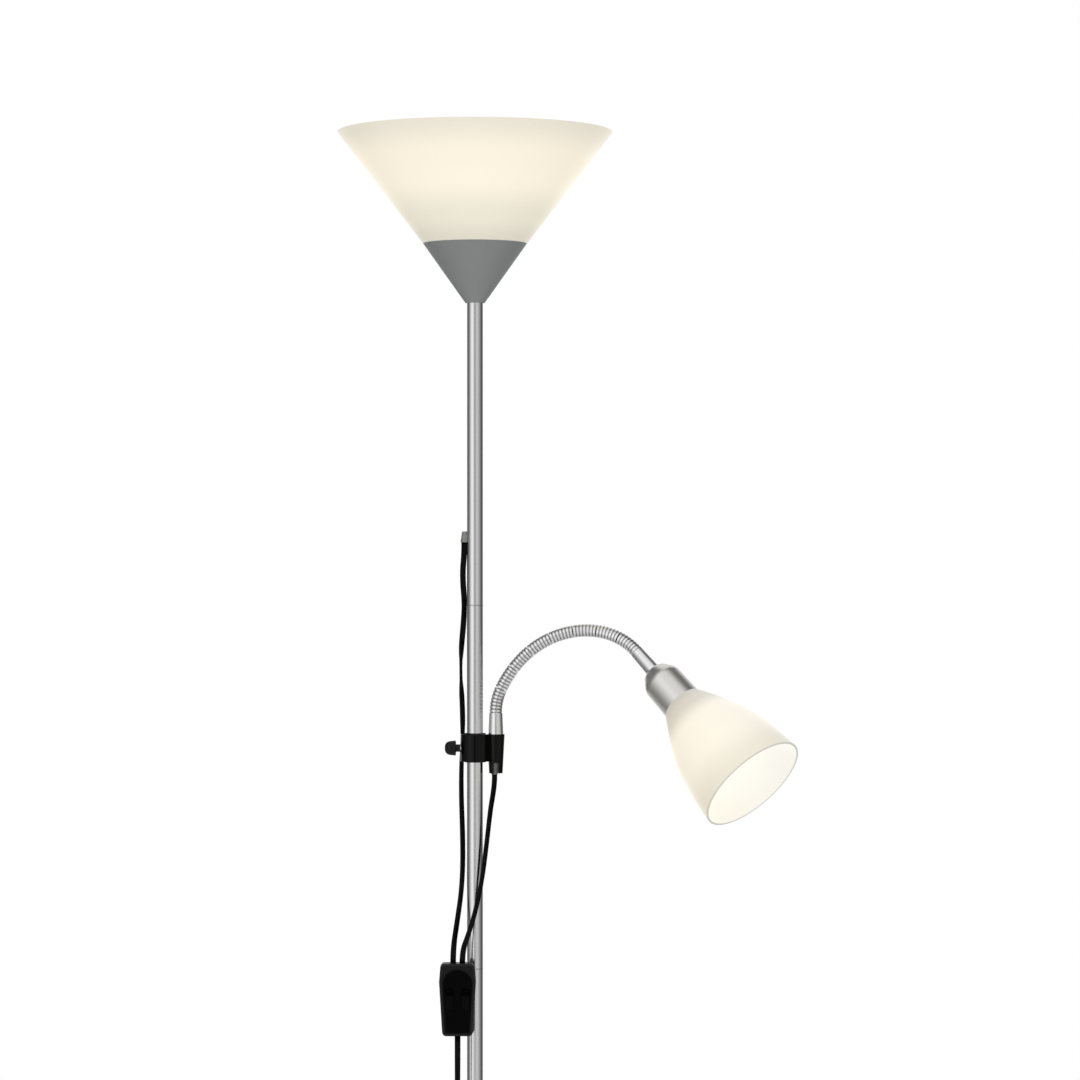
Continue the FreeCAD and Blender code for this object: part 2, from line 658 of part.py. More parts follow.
def top_lampholder():
    """E27 lampholder with the flange that the shade sits on."""
    body = rod(HOLDER_RADIUS, HOLDER_LOW, HOLDER_TOP)
    flange = rod(HOLDER_FLANGE_RADIUS, HOLDER_FLANGE_LOW, CONE_TOP - SEAT)
    cavity = rod(E27_CAP_RADIUS + SEAT, HOLDER_LOW + HOLDER_FLOOR, HOLDER_TOP + OVERCUT)
    hole = rod(STUD_RADIUS + SEAT, HOLDER_LOW - OVERCUT, HOLDER_HOLE_TOP)
    return body.fuse(flange).cut(cavity).cut(hole).removeSplitter()


def top_holder_ring():
    """Threaded ring that holds the shade down on the flange."""
    low = SHADE_FLOOR_TOP + FACE_GAP
    ring = pipe(HOLDER_RING_RADIUS, HOLDER_RADIUS + FIT, low, low + HOLDER_RING_HEIGHT)
    middle = (HOLDER_RADIUS + HOLDER_RING_RADIUS) / 2

    def at_upper_rim(edge):
        return edge.BoundBox.ZMin > low and edge.BoundBox.XMax > middle
    return rounded(ring, HOLDER_RING_ROUND, at_upper_rim)


def top_shade():
    """Upward cone of translucent plastic with a floor round the lampholder."""
    rim = CONE_TOP + SHADE_HEIGHT
    slope = (SHADE_RIM_RADIUS - CONE_TOP_RADIUS) / SHADE_HEIGHT
    step = SHADE_WALL * math.hypot(1, slope)
    return turned_polygon([
        (HOLDER_RADIUS + SEAT, CONE_TOP),
        (CONE_TOP_RADIUS, CONE_TOP),
        (SHADE_RIM_RADIUS, rim),
        (SHADE_RIM_RADIUS - step, rim),
        (CONE_TOP_RADIUS + slope * SHADE_WALL - step, SHADE_FLOOR_TOP),
        (HOLDER_RADIUS + SEAT, SHADE_FLOOR_TOP),
    ])


def screw_cap(radius, low, high):
    """Bulb's threaded cap with its contact tip."""
    return turned_polygon([
        (0, low),
        (radius * CAP_TIP_SHARE, low),
        (radius - CAP_BEVEL, low + CAP_TIP_HEIGHT),
        (radius, low + CAP_SHOULDER),
        (radius, high),
        (0, high),
    ])


def bulb_side(neck, radius, low, centre):
    """Neck and globe of one side of a bulb's glass, from its cap to its crown."""
    lift = math.radians(GLOBE_ANGLE)
    across = radius * math.cos(lift)
    drop = radius * math.sin(lift)
    join = (across, centre - drop)
    middle = (neck + (across - neck) * NECK_FLARE, low + (join[1] - low) * NECK_RISE)
    side = curve([(neck, low), middle, join], (0, 1), (math.sin(lift), math.cos(lift)))
    return [side, arc(join, (across, centre + drop), (0, centre + radius))]


def bulb_glass(neck, radius, low, rise):
    """Hollow pear-shaped bulb above its cap."""
    centre = low + rise
    edges = bulb_side(neck, radius, low, centre)
    edges += bulb_side(neck - BULB_WALL, radius - BULB_WALL, low, centre)
    edges += lines([(0, centre + radius - BULB_WALL), (0, centre + radius)])
    edges += lines([(neck, low), (neck - BULB_WALL, low)])
    return turned(edges)


# ---------------------------------------------------------------------------------------------------------
# Clamp
# ---------------------------------------------------------------------------------------------------------
def clamp_liner():
    """Sleeve between the pole and the collar, with a small lip at each end."""
    sleeve = pipe(LINER_RADIUS, LINER_BORE, CLAMP_LOW, CLAMP_TOP)
    lip_radius = LINER_RADIUS + LINER_LIP
    lower = pipe(lip_radius, LINER_BORE, CLAMP_LOW - LINER_LIP - FIT, CLAMP_LOW - FIT)
    upper = pipe(lip_radius, LINER_BORE, CLAMP_TOP + FIT, CLAMP_TOP + FIT + LINER_LIP)
    neck_low = pipe(LINER_RADIUS, LINER_BORE, CLAMP_LOW - LINER_LIP - FIT, CLAMP_LOW)
    neck_high = pipe(LINER_RADIUS, LINER_BORE, CLAMP_TOP, CLAMP_TOP + FIT + LINER_LIP)
    return sleeve.multiFuse([lower, upper, neck_low, neck_high]).removeSplitter()


def clamp_body():
    """Collar, web and tapered socket in one moulding."""
    collar = rod(CLAMP_RADIUS, CLAMP_LOW, CLAMP_TOP)
    web = block(0, ARM_OFFSET, -WEB_HALF_WIDTH, WEB_HALF_WIDTH, CLAMP_LOW, CLAMP_TOP)
    height = CLAMP_TOP - SOCKET_LOW
    socket = Part.makeCone(SOCKET_FOOT_RADIUS, SOCKET_TOP_RADIUS, height, V(ARM_OFFSET, 0, SOCKET_LOW))
    body = collar.multiFuse([web, socket]).removeSplitter()
    body = rounded(body, CLAMP_EDGE, lambda edge: edge.BoundBox.ZMin > CLAMP_TOP - TOUCH)
    bore = rod(CLAMP_BORE, CLAMP_LOW - OVERCUT, CLAMP_TOP + OVERCUT)
    sleeve_hole = rod(SLEEVE_SHANK_RADIUS + FIT, INSERT_SEAT, CLAMP_TOP + OVERCUT, ARM_OFFSET)
    foot_hole = rod(INSERT_TOP_RADIUS + SEAT, SOCKET_LOW - OVERCUT, INSERT_SEAT, ARM_OFFSET)
    slot = block(ARM_OFFSET - SLOT_WIDTH / 2, ARM_OFFSET + SLOT_WIDTH / 2, -2 * SOCKET_TOP_RADIUS, 0,
                 SOCKET_LOW - OVERCUT, INSERT_SEAT)
    start = V(-CLAMP_RADIUS - OVERCUT, 0, SCREW_Z)
    hole = Part.makeCylinder(SCREW_NUT_RADIUS + PRESS, CLAMP_RADIUS, start, V(1, 0, 0))
    return body.cut(bore).cut(sleeve_hole).cut(foot_hole).cut(slot).cut(hole)


def clamp_nut():
    """Threaded metal insert in the collar's wall."""
    start = V(SCREW_NUT_SINK - CLAMP_RADIUS, 0, SCREW_Z)
    length = CLAMP_RADIUS - SCREW_NUT_SINK - SCREW_NUT_CLEAR - CLAMP_BORE
    nut = Part.makeCylinder(SCREW_NUT_RADIUS, length, start, V(1, 0, 0))
    bore = Part.makeCylinder(SCREW_RADIUS + FIT, length + 2 * OVERCUT, start - V(OVERCUT, 0, 0), V(1, 0, 0))
    return nut.cut(bore)


def knob_face():
    """X of the knob's inner face."""
    return -CLAMP_RADIUS - KNOB_GAP - KNOB_NECK_LENGTH


def thumbscrew_stud():
    """Plain metal screw that presses on the liner."""
    tip = -LINER_RADIUS - FIT
    end = knob_face() - KNOB_SOCKET
    return Part.makeCylinder(SCREW_RADIUS, tip - end, V(end, 0, SCREW_Z), V(1, 0, 0))


def thumbscrew_knob():
    """Domed fluted knob on its neck, turned about X."""
    head = KNOB_NECK_LENGTH
    end = head + KNOB_LENGTH
    blind = head + KNOB_SOCKET + SEAT
    hollow = SCREW_RADIUS + KNOB_PLAY
    shoulder = (KNOB_RADIUS - KNOB_TAPER, head + KNOB_SHOULDER)
    crown = (KNOB_RADIUS - KNOB_CROWN_IN, end - KNOB_CROWN_SINK)
    edges = lines([(0, end), (0, blind), (hollow, blind), (hollow, 0), (KNOB_NECK_RADIUS, 0),
                   (KNOB_NECK_RADIUS, head), (KNOB_RADIUS, head + KNOB_CHAMFER),
                   (KNOB_RADIUS, head + KNOB_BAND), shoulder])
    edges += [curve([shoulder, crown, (0, end)], (-KNOB_SHOULDER_SLOPE, 1), (-1, 0))]
    knob = turned(edges)
    reach = KNOB_RADIUS + FLUTE_RADIUS - FLUTE_DEPTH
    for flute in range(KNOB_FLUTES):
        turn = 2 * math.pi * (flute + 0.5) / KNOB_FLUTES
        x = reach * math.cos(turn)
        y = reach * math.sin(turn)
        knob = knob.cut(rod(FLUTE_RADIUS, head - OVERCUT, end + OVERCUT, x, y))
    knob.rotate(V(0, 0, 0), V(0, 1, 0), -90)
    knob.translate(V(-CLAMP_RADIUS - KNOB_GAP, 0, SCREW_Z))
    return knob


def socket_insert():
    """Strain relief in the socket's foot, leaning towards the pole, that the cord leaves."""
    high = INSERT_SEAT - SEAT
    low = SOCKET_LOW - INSERT_PROUD
    top = Part.Wire([Part.makeCircle(INSERT_TOP_RADIUS, V(ARM_OFFSET, 0, high), UP)])
    foot = Part.Wire([Part.makeCircle(INSERT_FOOT_RADIUS, V(ARM_OFFSET + INSERT_LEAN, 0, low), UP)])
    return Part.makeLoft([foot, top], True, True)


# ---------------------------------------------------------------------------------------------------------
# Bendable arm
# ---------------------------------------------------------------------------------------------------------
def hose_stations():
    """Point and direction at the ends of each segment."""
    stations = [(V(ARM_OFFSET, 0, HOSE_FOOT), direction(*HOSE_DIRECTIONS[0]))]
    for angles in HOSE_DIRECTIONS[1:]:
        point, before = stations[-1]
        after = direction(*angles)
        turn = before.getAngle(after)
        chord = 2 * math.sin(turn / 2) * SEGMENT_LENGTH / turn
        stations.append((point + (before + after).normalize() * chord, after))
    return stations


def on_segment(index, distance):
    """Point and direction of the centre line of one segment, at a distance from its start."""
    point, before = STATIONS[index]
    after = STATIONS[index + 1][1]
    turn = before.getAngle(after)
    bend_radius = SEGMENT_LENGTH / turn
    side = (after - before * before.dot(after)).normalize()
    angle = distance / bend_radius
    place = point + before * (bend_radius * math.sin(angle)) + side * (bend_radius * (1 - math.cos(angle)))
    heading = before * math.cos(angle) + side * math.sin(angle)
    return place, heading


def ring_wire(place, heading, radius, across):
    """Circle square to the heading, whose X axis stays close to one fixed direction."""
    frame_x = (across - heading * across.dot(heading)).normalize()
    frame = FreeCAD.Rotation(frame_x, heading.cross(frame_x), heading, "XYZ")
    circle = Part.Circle(V(0, 0, 0), UP, radius).toShape()
    circle.Placement = FreeCAD.Placement(place, frame)
    return Part.Wire([circle])


def hose_segment(index):
    """One ribbed segment with its bore, and the spigot that enters the next one."""
    last = index == len(HOSE_DIRECTIONS) - 2
    start_gap = SEGMENT_GAP / 2 if index else 0.0
    end_gap = 0.0 if last else SEGMENT_GAP / 2
    before = STATIONS[index][1]
    across = before.cross(STATIONS[index + 1][1]).normalize()
    half_groove = RIB_GROOVE / 2
    stops = []
    for rib in range(RIBS_PER_SEGMENT):
        low = rib * RIB_PITCH + half_groove
        high = (rib + 1) * RIB_PITCH - half_groove
        stops += [(low, HOSE_ROOT_RADIUS), (low + RIB_FLANK, HOSE_RADIUS)]
        stops += [(high - RIB_FLANK, HOSE_RADIUS), (high, HOSE_ROOT_RADIUS)]
    stops[0] = (start_gap, HOSE_ROOT_RADIUS)
    stops[-1] = (SEGMENT_LENGTH - end_gap, HOSE_ROOT_RADIUS)
    rings = [ring_wire(*on_segment(index, stop), radius, across) for stop, radius in stops]
    body = Part.makeLoft(rings, True, True)
    web_low = SEGMENT_LENGTH - end_gap - SPIGOT_WEB
    bore_end = SEGMENT_LENGTH + OVERCUT if last else web_low
    spans = [(bore_end + OVERCUT) * step / RIBS_PER_SEGMENT - OVERCUT for step in range(RIBS_PER_SEGMENT + 1)]
    rings = [ring_wire(*on_segment(index, span), HOSE_BORE_RADIUS, across) for span in spans]
    bore = Part.makeLoft(rings, True, True)
    body = body.cut(bore)
    if last:
        return body
    place, heading = on_segment(index, web_low)
    reach = SPIGOT_WEB + SEGMENT_GAP + SPIGOT_REACH
    spigot = Part.makeCylinder(SPIGOT_RADIUS, reach, place, heading)
    hollow = Part.makeCylinder(SPIGOT_BORE, reach + 2 * OVERCUT, place - heading * OVERCUT, heading)
    return body.fuse(spigot).cut(hollow)


def arm_sleeve_lower():
    """Metal sleeve between the clamp's socket and the ribbed arm."""
    shank_low = CLAMP_TOP - SLEEVE_SHANK
    sleeve = turned_polygon([
        (HOSE_BORE_RADIUS, shank_low),
        (SLEEVE_SHANK_RADIUS, shank_low),
        (SLEEVE_SHANK_RADIUS, CLAMP_TOP),
        (SLEEVE_FOOT_RADIUS, CLAMP_TOP),
        (SLEEVE_TOP_RADIUS, HOSE_FOOT - SLEEVE_CHAMFER),
        (SLEEVE_TOP_RADIUS - SLEEVE_CHAMFER, HOSE_FOOT),
        (HOSE_BORE_RADIUS, HOSE_FOOT),
    ])
    sleeve.translate(V(ARM_OFFSET, 0, 0))
    return sleeve


# ---------------------------------------------------------------------------------------------------------
# Reading light: made upright from the arm's end, then turned to the arm's last direction
# ---------------------------------------------------------------------------------------------------------
def on_arm(shape):
    """Move an upright shape to the arm's end."""
    point, heading = STATIONS[-1]
    shape.Placement = FreeCAD.Placement(point, FreeCAD.Rotation(UP, heading))
    return shape


def arm_sleeve_upper():
    """Metal sleeve between the ribbed arm and the lampholder's cover."""
    return turned_polygon([
        (HOSE_BORE_RADIUS, 0),
        (SLEEVE_TOP_RADIUS - SLEEVE_CHAMFER, 0),
        (SLEEVE_TOP_RADIUS, SLEEVE_CHAMFER),
        (NOSE_SLEEVE_RADIUS, NOSE_SLEEVE_LENGTH),
        (STUD_RADIUS, NOSE_SLEEVE_LENGTH),
        (STUD_RADIUS, NOSE_SLEEVE_LENGTH + NOSE_SHANK),
        (HOSE_BORE_RADIUS, NOSE_SLEEVE_LENGTH + NOSE_SHANK),
    ])


def holder_cover():
    """Domed metal cover over the reading light's lampholder."""
    top = NOSE_SLEEVE_LENGTH
    hole = STUD_RADIUS + FIT
    shoulder = top + COVER_DOME
    haunch = (COVER_SHOULDER_RADIUS - DOME_HAUNCH_IN, top + DOME_HAUNCH_DROP)
    bore = COVER_RADIUS - HOOD_WALL
    outer = [(hole + DOME_FLAT, top), haunch, (COVER_SHOULDER_RADIUS, shoulder)]
    inner = [(hole + DOME_FLAT, top + HOOD_WALL)] + inset(outer, HOOD_WALL)
    inner.append((COVER_SHOULDER_RADIUS - HOOD_WALL, shoulder))
    edges = [curve(outer, (1, DOME_SLOPE), (0, 1)), curve(inner, (1, DOME_SLOPE), (0, 1))]
    edges += lines([outer[2], (COVER_RADIUS, READING_NECK), (bore, READING_NECK), inner[2]])
    edges += lines([outer[0], (hole, top), (hole, top + HOOD_WALL), inner[0]])
    return turned(edges)


def reading_lampholder():
    """E14 lampholder inside the cover; its threaded end passes the bell's neck."""
    low = READING_MOUTH - E14_HOLDER_LENGTH
    body = rod(E14_HOLDER_RADIUS, low, READING_MOUTH)
    flange = rod(COVER_RADIUS - HOOD_WALL - SEAT, READING_NECK - HOLDER_FLANGE, READING_NECK - SEAT)
    cavity = rod(E14_CAP_RADIUS + SEAT, low + E14_FLOOR, READING_MOUTH + OVERCUT)
    hole = rod(STUD_RADIUS + SEAT, low - OVERCUT, low + E14_FLOOR - HOLDER_WEB)
    return body.fuse(flange).cut(cavity).cut(hole).removeSplitter()


def shade_ring():
    """Threaded ring that holds the bell against the cover."""
    low = READING_NECK + BELL_WALL + 2 * FACE_GAP
    return pipe(E14_HOLDER_RADIUS + BELL_RING_WIDTH, E14_HOLDER_RADIUS + FIT, low, low + BELL_RING_HEIGHT)


def reading_shade():
    """Bell of white plastic with a flat neck plate."""
    neck = READING_NECK + FACE_GAP
    outer = [(BELL_NECK_RADIUS, neck)]
    outer += [(radius, neck + reach) for reach, radius in zip(BELL_STEPS, BELL_RADII)]
    outer += [(BELL_RIM_RADIUS, neck + BELL_LENGTH)]
    floor = (BELL_NECK_RADIUS, neck + BELL_WALL)
    inner = [floor] + inset(outer, BELL_WALL) + [(BELL_RIM_RADIUS - BELL_WALL, neck + BELL_LENGTH)]
    hole = E14_HOLDER_RADIUS + SEAT
    edges = [curve(outer), curve(inner)]
    edges += lines([outer[-1], inner[-1]])
    edges += lines([outer[0], (hole, neck), (hole, neck + BELL_WALL), floor])
    return turned(edges)


# ---------------------------------------------------------------------------------------------------------
# Switch
# ---------------------------------------------------------------------------------------------------------
def switch_outline(inset, y):
    """Face of the switch's outline, a little drawn in."""
    top = SWITCH_TOP - inset
    wide = SWITCH_TOP - SWITCH_WIDE_DROP
    foot = SWITCH_FOOT + inset
    halves = [(SWITCH_TOP_HALF, top), (SWITCH_WIDE_HALF, wide), (SWITCH_FOOT_HALF, foot)]
    halves = [(half - inset, height) for half, height in halves]
    right = [V(SWITCH_X + half, y, height) for half, height in halves]
    left = [V(SWITCH_X - half, y, height) for half, height in reversed(halves)]
    corners = right + left
    return Part.Face(Part.makePolygon(corners + corners[:1]))


def switch_slab(inset, y_back, y_front, corner):
    """The outline drawn from one depth to another, with rounded corners."""
    slab = switch_outline(inset, y_back).extrude(V(0, y_front - y_back, 0))
    ends = (SWITCH_TOP - inset, SWITCH_FOOT + inset)

    def at_corner(edge):
        box = edge.BoundBox
        upright = box.YLength > abs(y_front - y_back) - TOUCH
        return upright and min(abs(box.ZMin - end) for end in ends) < TOUCH
    return rounded(slab, corner, at_corner)


def switch_cavity():
    """Room inside the two shells."""
    return switch_slab(SWITCH_WALL, SWITCH_ROOM_Y, SWITCH_FACE_Y + SWITCH_WALL, SWITCH_CORNER - SWITCH_WALL)


def across_switch(radius, y_back, y_front, height):
    """Cylinder through the switch at one of its screws, from back to front."""
    return Part.makeCylinder(radius, y_back - y_front, V(SWITCH_X, y_back, height), V(0, -1, 0))


def switch_back():
    """Rear shell of the inline switch."""
    rim = SWITCH_SPLIT_Y + SHELL_GAP
    shell = switch_slab(0, SWITCH_BACK_Y, rim, SWITCH_CORNER)
    shell = rounded(shell, SWITCH_EDGE, lambda edge: edge.BoundBox.YMin > SWITCH_BACK_Y - TOUCH)
    shell = shell.cut(switch_cavity())
    for height in SHELL_SCREW_HEIGHTS:
        shell = shell.fuse(across_switch(BOSS_RADIUS, SWITCH_BACK_Y - SWITCH_WALL / 2, rim, height))
        recess = across_switch(SCREW_HEAD_RADIUS + SEAT, SWITCH_BACK_Y + OVERCUT, SHELL_SCREW_SEAT, height)
        hole = across_switch(SHELL_SCREW_RADIUS + SEAT, SWITCH_BACK_Y, rim - OVERCUT, height)
        shell = shell.cut(recess).cut(hole)
    return cord_holes(shell)


def cord_holes(shell):
    """Cut the cords' three entries, which the shells share."""
    entries = [(LAMP_CORD_OFFSET, SWITCH_TOP), (READING_CORD_OFFSET, SWITCH_TOP), (0, SWITCH_FOOT)]
    reach = 2 * SWITCH_WALL
    for offset, height in entries:
        x = SWITCH_X + offset
        shell = shell.cut(rod(CORD_RADIUS - CORD_PINCH, height - reach, height + reach, x, SWITCH_SPLIT_Y))
    return shell


def rocker_box(side, grow, y_back, y_front):
    """Upright rounded block at one rocker's place, grown all round."""
    x = SWITCH_X + side * ROCKER_OFFSET
    half = ROCKER_WIDTH / 2 + grow
    low = ROCKER_Z - ROCKER_HEIGHT / 2 - grow
    high = ROCKER_Z + ROCKER_HEIGHT / 2 + grow
    depth = abs(y_back - y_front)
    shape = block(x - half, x + half, y_front, y_back, low, high)
    return rounded(shape, ROCKER_ROUND + grow, lambda edge: edge.BoundBox.YLength > depth - TOUCH)


def switch_front():
    """Front shell with an arched raised face and two rocker windows."""
    rim = SWITCH_SPLIT_Y - SHELL_GAP
    shell = switch_slab(0, rim, SWITCH_FACE_Y, SWITCH_CORNER)
    shell = rounded(shell, SWITCH_EDGE, lambda edge: edge.BoundBox.YMax < SWITCH_FACE_Y + TOUCH)
    arch_top = SWITCH_TOP - PLATEAU_DROP
    spring = arch_top - PLATEAU_HALF
    foot = SWITCH_FOOT + PLATEAU_FOOT_RISE
    deep = SWITCH_FACE_Y + SWITCH_WALL
    left = V(SWITCH_X - PLATEAU_HALF, deep, spring)
    right = V(SWITCH_X + PLATEAU_HALF, deep, spring)
    foot_left = V(SWITCH_X - PLATEAU_FOOT_HALF, deep, foot)
    foot_right = V(SWITCH_X + PLATEAU_FOOT_HALF, deep, foot)
    edges = [
        Part.Arc(left, V(SWITCH_X, deep, arch_top), right).toShape(),
        Part.makeLine(right, foot_right),
        Part.makeLine(foot_right, foot_left),
        Part.makeLine(foot_left, left),
    ]
    plateau = Part.Face(Part.Wire(edges)).extrude(V(0, PLATEAU_Y - deep, 0))
    plateau = rounded(plateau, PLATEAU_EDGE, lambda edge: edge.BoundBox.YMax < PLATEAU_Y + TOUCH)
    shell = shell.fuse(plateau).cut(switch_cavity())
    for height in SHELL_SCREW_HEIGHTS:
        shell = shell.fuse(across_switch(BOSS_RADIUS, rim, SWITCH_FACE_Y + SWITCH_WALL / 2, height))
        tip = SHELL_SCREW_SEAT - SHELL_SCREW_LENGTH - SEAT
        shell = shell.cut(across_switch(SHELL_SCREW_RADIUS + FIT, rim + OVERCUT, tip, height))
    for side in (-1, 1):
        shell = shell.cut(rocker_box(side, ROCKER_GAP, SWITCH_FACE_Y + 3 * SWITCH_WALL, PLATEAU_Y - OVERCUT))
    return cord_holes(shell)


def rocker(side):
    """Rocker with a ridged middle, tilted about its own pivot."""
    back = PLATEAU_Y + ROCKER_DEPTH
    front = PLATEAU_Y - ROCKER_PROUD
    body = rocker_box(side, 0, back, front)
    x = SWITCH_X + side * ROCKER_OFFSET
    for end in (-1, 1):
        scoop_z = ROCKER_Z + end * ROCKER_HEIGHT / 2
        start = V(x - ROCKER_WIDTH / 2 - OVERCUT, front + SCOOP_DEPTH - ROCKER_HEIGHT, scoop_z)
        body = body.cut(Part.makeCylinder(ROCKER_HEIGHT, ROCKER_WIDTH + 2 * OVERCUT, start, V(1, 0, 0)))
    pivot_y = PLATEAU_Y + ROCKER_DEPTH / 2
    half_axle = ROCKER_WIDTH / 2 + ROCKER_GAP - PIVOT_PLAY
    axle_start = V(x - half_axle, pivot_y, ROCKER_Z)
    body = body.fuse(Part.makeCylinder(PIVOT_RADIUS, 2 * half_axle, axle_start, V(1, 0, 0)))
    body.rotate(V(x, pivot_y, ROCKER_Z), V(1, 0, 0), ROCKER_TILT)
    return body


def switch_screws():
    """Two screws that hold the shells together from behind."""
    solids = []
    seat = SHELL_SCREW_SEAT
    for height in SHELL_SCREW_HEIGHTS:
        head = across_switch(SCREW_HEAD_RADIUS, seat + SCREW_HEAD_HEIGHT, seat, height)
        shank = across_switch(SHELL_SCREW_RADIUS, seat, seat - SHELL_SCREW_LENGTH, height)
        solids.append(head.fuse(shank).removeSplitter())
    return Part.makeCompound(solids)


def switch_terminals():
    """Four brass terminal blocks on the back's inside, two for each rocker."""
    solids = []
    for side in (-1, 1):
        x = SWITCH_X + side * ROCKER_OFFSET - TERMINAL_WIDTH / 2
        for middle in (ROCKER_Z - TERMINAL_RISE, ROCKER_Z + TERMINAL_RISE):
            z = middle - TERMINAL_HEIGHT / 2
            solids.append(block(x, x + TERMINAL_WIDTH, SWITCH_ROOM_Y - TERMINAL_DEPTH, SWITCH_ROOM_Y,
                                z, z + TERMINAL_HEIGHT))
    return Part.makeCompound(solids)


# ---------------------------------------------------------------------------------------------------------
# Supply cord's coil, tie and plug
# ---------------------------------------------------------------------------------------------------------
def coil_spots():
    """Ends of the coil's half turns: in through the lower layer, and out again through the upper one."""
    inward = list(range(COIL_HALF_TURNS_IN, -1, -1))
    radii = [COIL_INNER_RADIUS + COIL_STEP / 2 * steps for steps in inward + inward[::-1]]
    layers = [0.0] * len(inward) + [COIL_LAYER] * len(inward)
    return [COIL_CENTRE + V((-1) ** (turn + 1) * radius, 0, layer)
            for turn, (radius, layer) in enumerate(zip(radii, layers))]


def supply_coil():
    """Loops in two layers as one tube, each half turn two quarter arcs."""
    spots = coil_spots()
    straight = V(0, CORD_WIDTH, 0)
    edges = [Part.LineSegment(spots[0] - straight, spots[0]).toShape()]
    for turn, (start, end) in enumerate(zip(spots, spots[1:])):
        reach = (end - start).Length / 2
        forward = V(0, (-1) ** turn, 0) * reach
        middle = (start + end) * 0.5 + forward
        edges.append(corner_arc(start, start + forward, middle)[0])
        edges.append(corner_arc(middle, end + forward, end)[0])
    edges.append(Part.LineSegment(spots[-1], spots[-1] - straight).toShape())
    solid, length = swept_tube(edges, CORD_RADIUS)
    ratio = solid.Volume / (math.pi * CORD_RADIUS ** 2 * length)
    print("coil length", round(length, 1), "volume ratio", round(ratio, 4))
    print("coil least gap", round(least_self_gap(edges), 2))
    return solid


def least_self_gap(edges):
    """Least free space between two stretches of a coiled tube, over points along its path."""
    points = []
    run = 0.0
    for edge in edges:
        steps = max(2, int(edge.Length / COIL_CHECK_STEP))
        for spot in edge.discretize(Number=steps + 1)[:-1]:
            if points:
                run += (spot - points[-1][1]).Length
            points.append((run, spot))
    away = 4 * CORD_WIDTH
    nearest = min((a - b).Length for i, (run_a, a) in enumerate(points)
                  for run_b, b in points[i + 1:] if run_b - run_a > away)
    return nearest - 2 * CORD_RADIUS


def cord_tie():
    """Band round the coil's bundle, on the side away from the plug."""
    bundle_in = COIL_INNER_RADIUS - CORD_RADIUS
    bundle_out = COIL_OUTER_RADIUS + CORD_RADIUS
    low = CORD_FLOOR_Z - CORD_RADIUS
    high = CORD_FLOOR_Z + COIL_LAYER + CORD_RADIUS
    y_in = COIL_CENTRE.y + bundle_in - COIL_STEP / 2 - TIE_GAP
    y_out = COIL_CENTRE.y + bundle_out + TIE_GAP
    x = COIL_CENTRE.x - TIE_WIDTH / 2
    band = block(x, x + TIE_WIDTH, y_in - TIE_WALL, y_out + TIE_WALL, low, high + TIE_GAP + TIE_WALL)

    def at_top(edge):
        return edge.BoundBox.XLength > TIE_WIDTH - TOUCH and edge.BoundBox.ZMax > high
    band = rounded(band, TIE_ROUND, at_top)
    room = block(x - OVERCUT, x + TIE_WIDTH + OVERCUT, y_in, y_out, low - OVERCUT, high + TIE_GAP)
    return band.cut(room)


def plug_body():
    """Flat two-pin plug lying beside the coil, with its tapered strain relief."""
    start = coil_spots()[-1] - V(0, CORD_WIDTH, 0)
    body_y = start.y - PLUG_RELIEF
    relief = Part.makeCone(CORD_WIDTH / 2 + PLUG_RELIEF_START, CORD_WIDTH / 2 + PLUG_RELIEF_END,
                           PLUG_RELIEF + PLUG_EDGE, start, V(0, -1, 0))
    half = PLUG_THICKNESS / 2
    halves = [(PLUG_NECK_HALF_WIDTH, 0), (PLUG_HALF_WIDTH, PLUG_WIDE_FROM), (PLUG_HALF_WIDTH, PLUG_WIDE_TO),
              (PLUG_FACE_HALF_WIDTH, PLUG_BODY)]
    right = [V(start.x + width, body_y - depth, start.z - half) for width, depth in halves]
    left = [V(start.x - width, body_y - depth, start.z - half) for width, depth in reversed(halves)]
    corners = right + left
    body = Part.Face(Part.makePolygon(corners + corners[:1])).extrude(UP * PLUG_THICKNESS)
    body = rounded(body, PLUG_EDGE, lambda edge: edge.BoundBox.ZLength < TOUCH)
    return body.fuse(relief).removeSplitter()


def plug_pins():
    """Two round pins."""
    start = coil_spots()[-1] - V(0, CORD_WIDTH + PLUG_RELIEF + PLUG_BODY, 0)
    solids = []
    for side in (-1, 1):
        pin = Part.makeCylinder(PIN_RADIUS, PIN_LENGTH, start + V(side * PIN_SPACING / 2, 0, 0), V(0, -1, 0))
        solids.append(rounded(pin, PIN_ROUND, lambda edge: edge.BoundBox.YMax < start.y - PIN_LENGTH + TOUCH))
    return Part.makeCompound(solids)


# ---------------------------------------------------------------------------------------------------------
# All pieces
# ---------------------------------------------------------------------------------------------------------
STATIONS = hose_stations()
OUTLET_MOUTH = (-TUBE_RADIUS - OUTLET_PROUD, 0.0, OUTLET_HEIGHT - OUTLET_LENGTH / 2)
LAMP_ENTRY = (SWITCH_X + LAMP_CORD_OFFSET, SWITCH_SPLIT_Y, SWITCH_TOP)
READING_ENTRY = (SWITCH_X + READING_CORD_OFFSET, SWITCH_SPLIT_Y, SWITCH_TOP)
SUPPLY_EXIT = (SWITCH_X, SWITCH_SPLIT_Y, SWITCH_FOOT)
INSERT_MOUTH = (ARM_OFFSET + INSERT_LEAN, 0.0, SOCKET_LOW - INSERT_PROUD)
SUPPLY_FLOOR = [(*SUPPLY_LANDING, CORD_FLOOR_Z), (*SUPPLY_END, CORD_FLOOR_Z)]

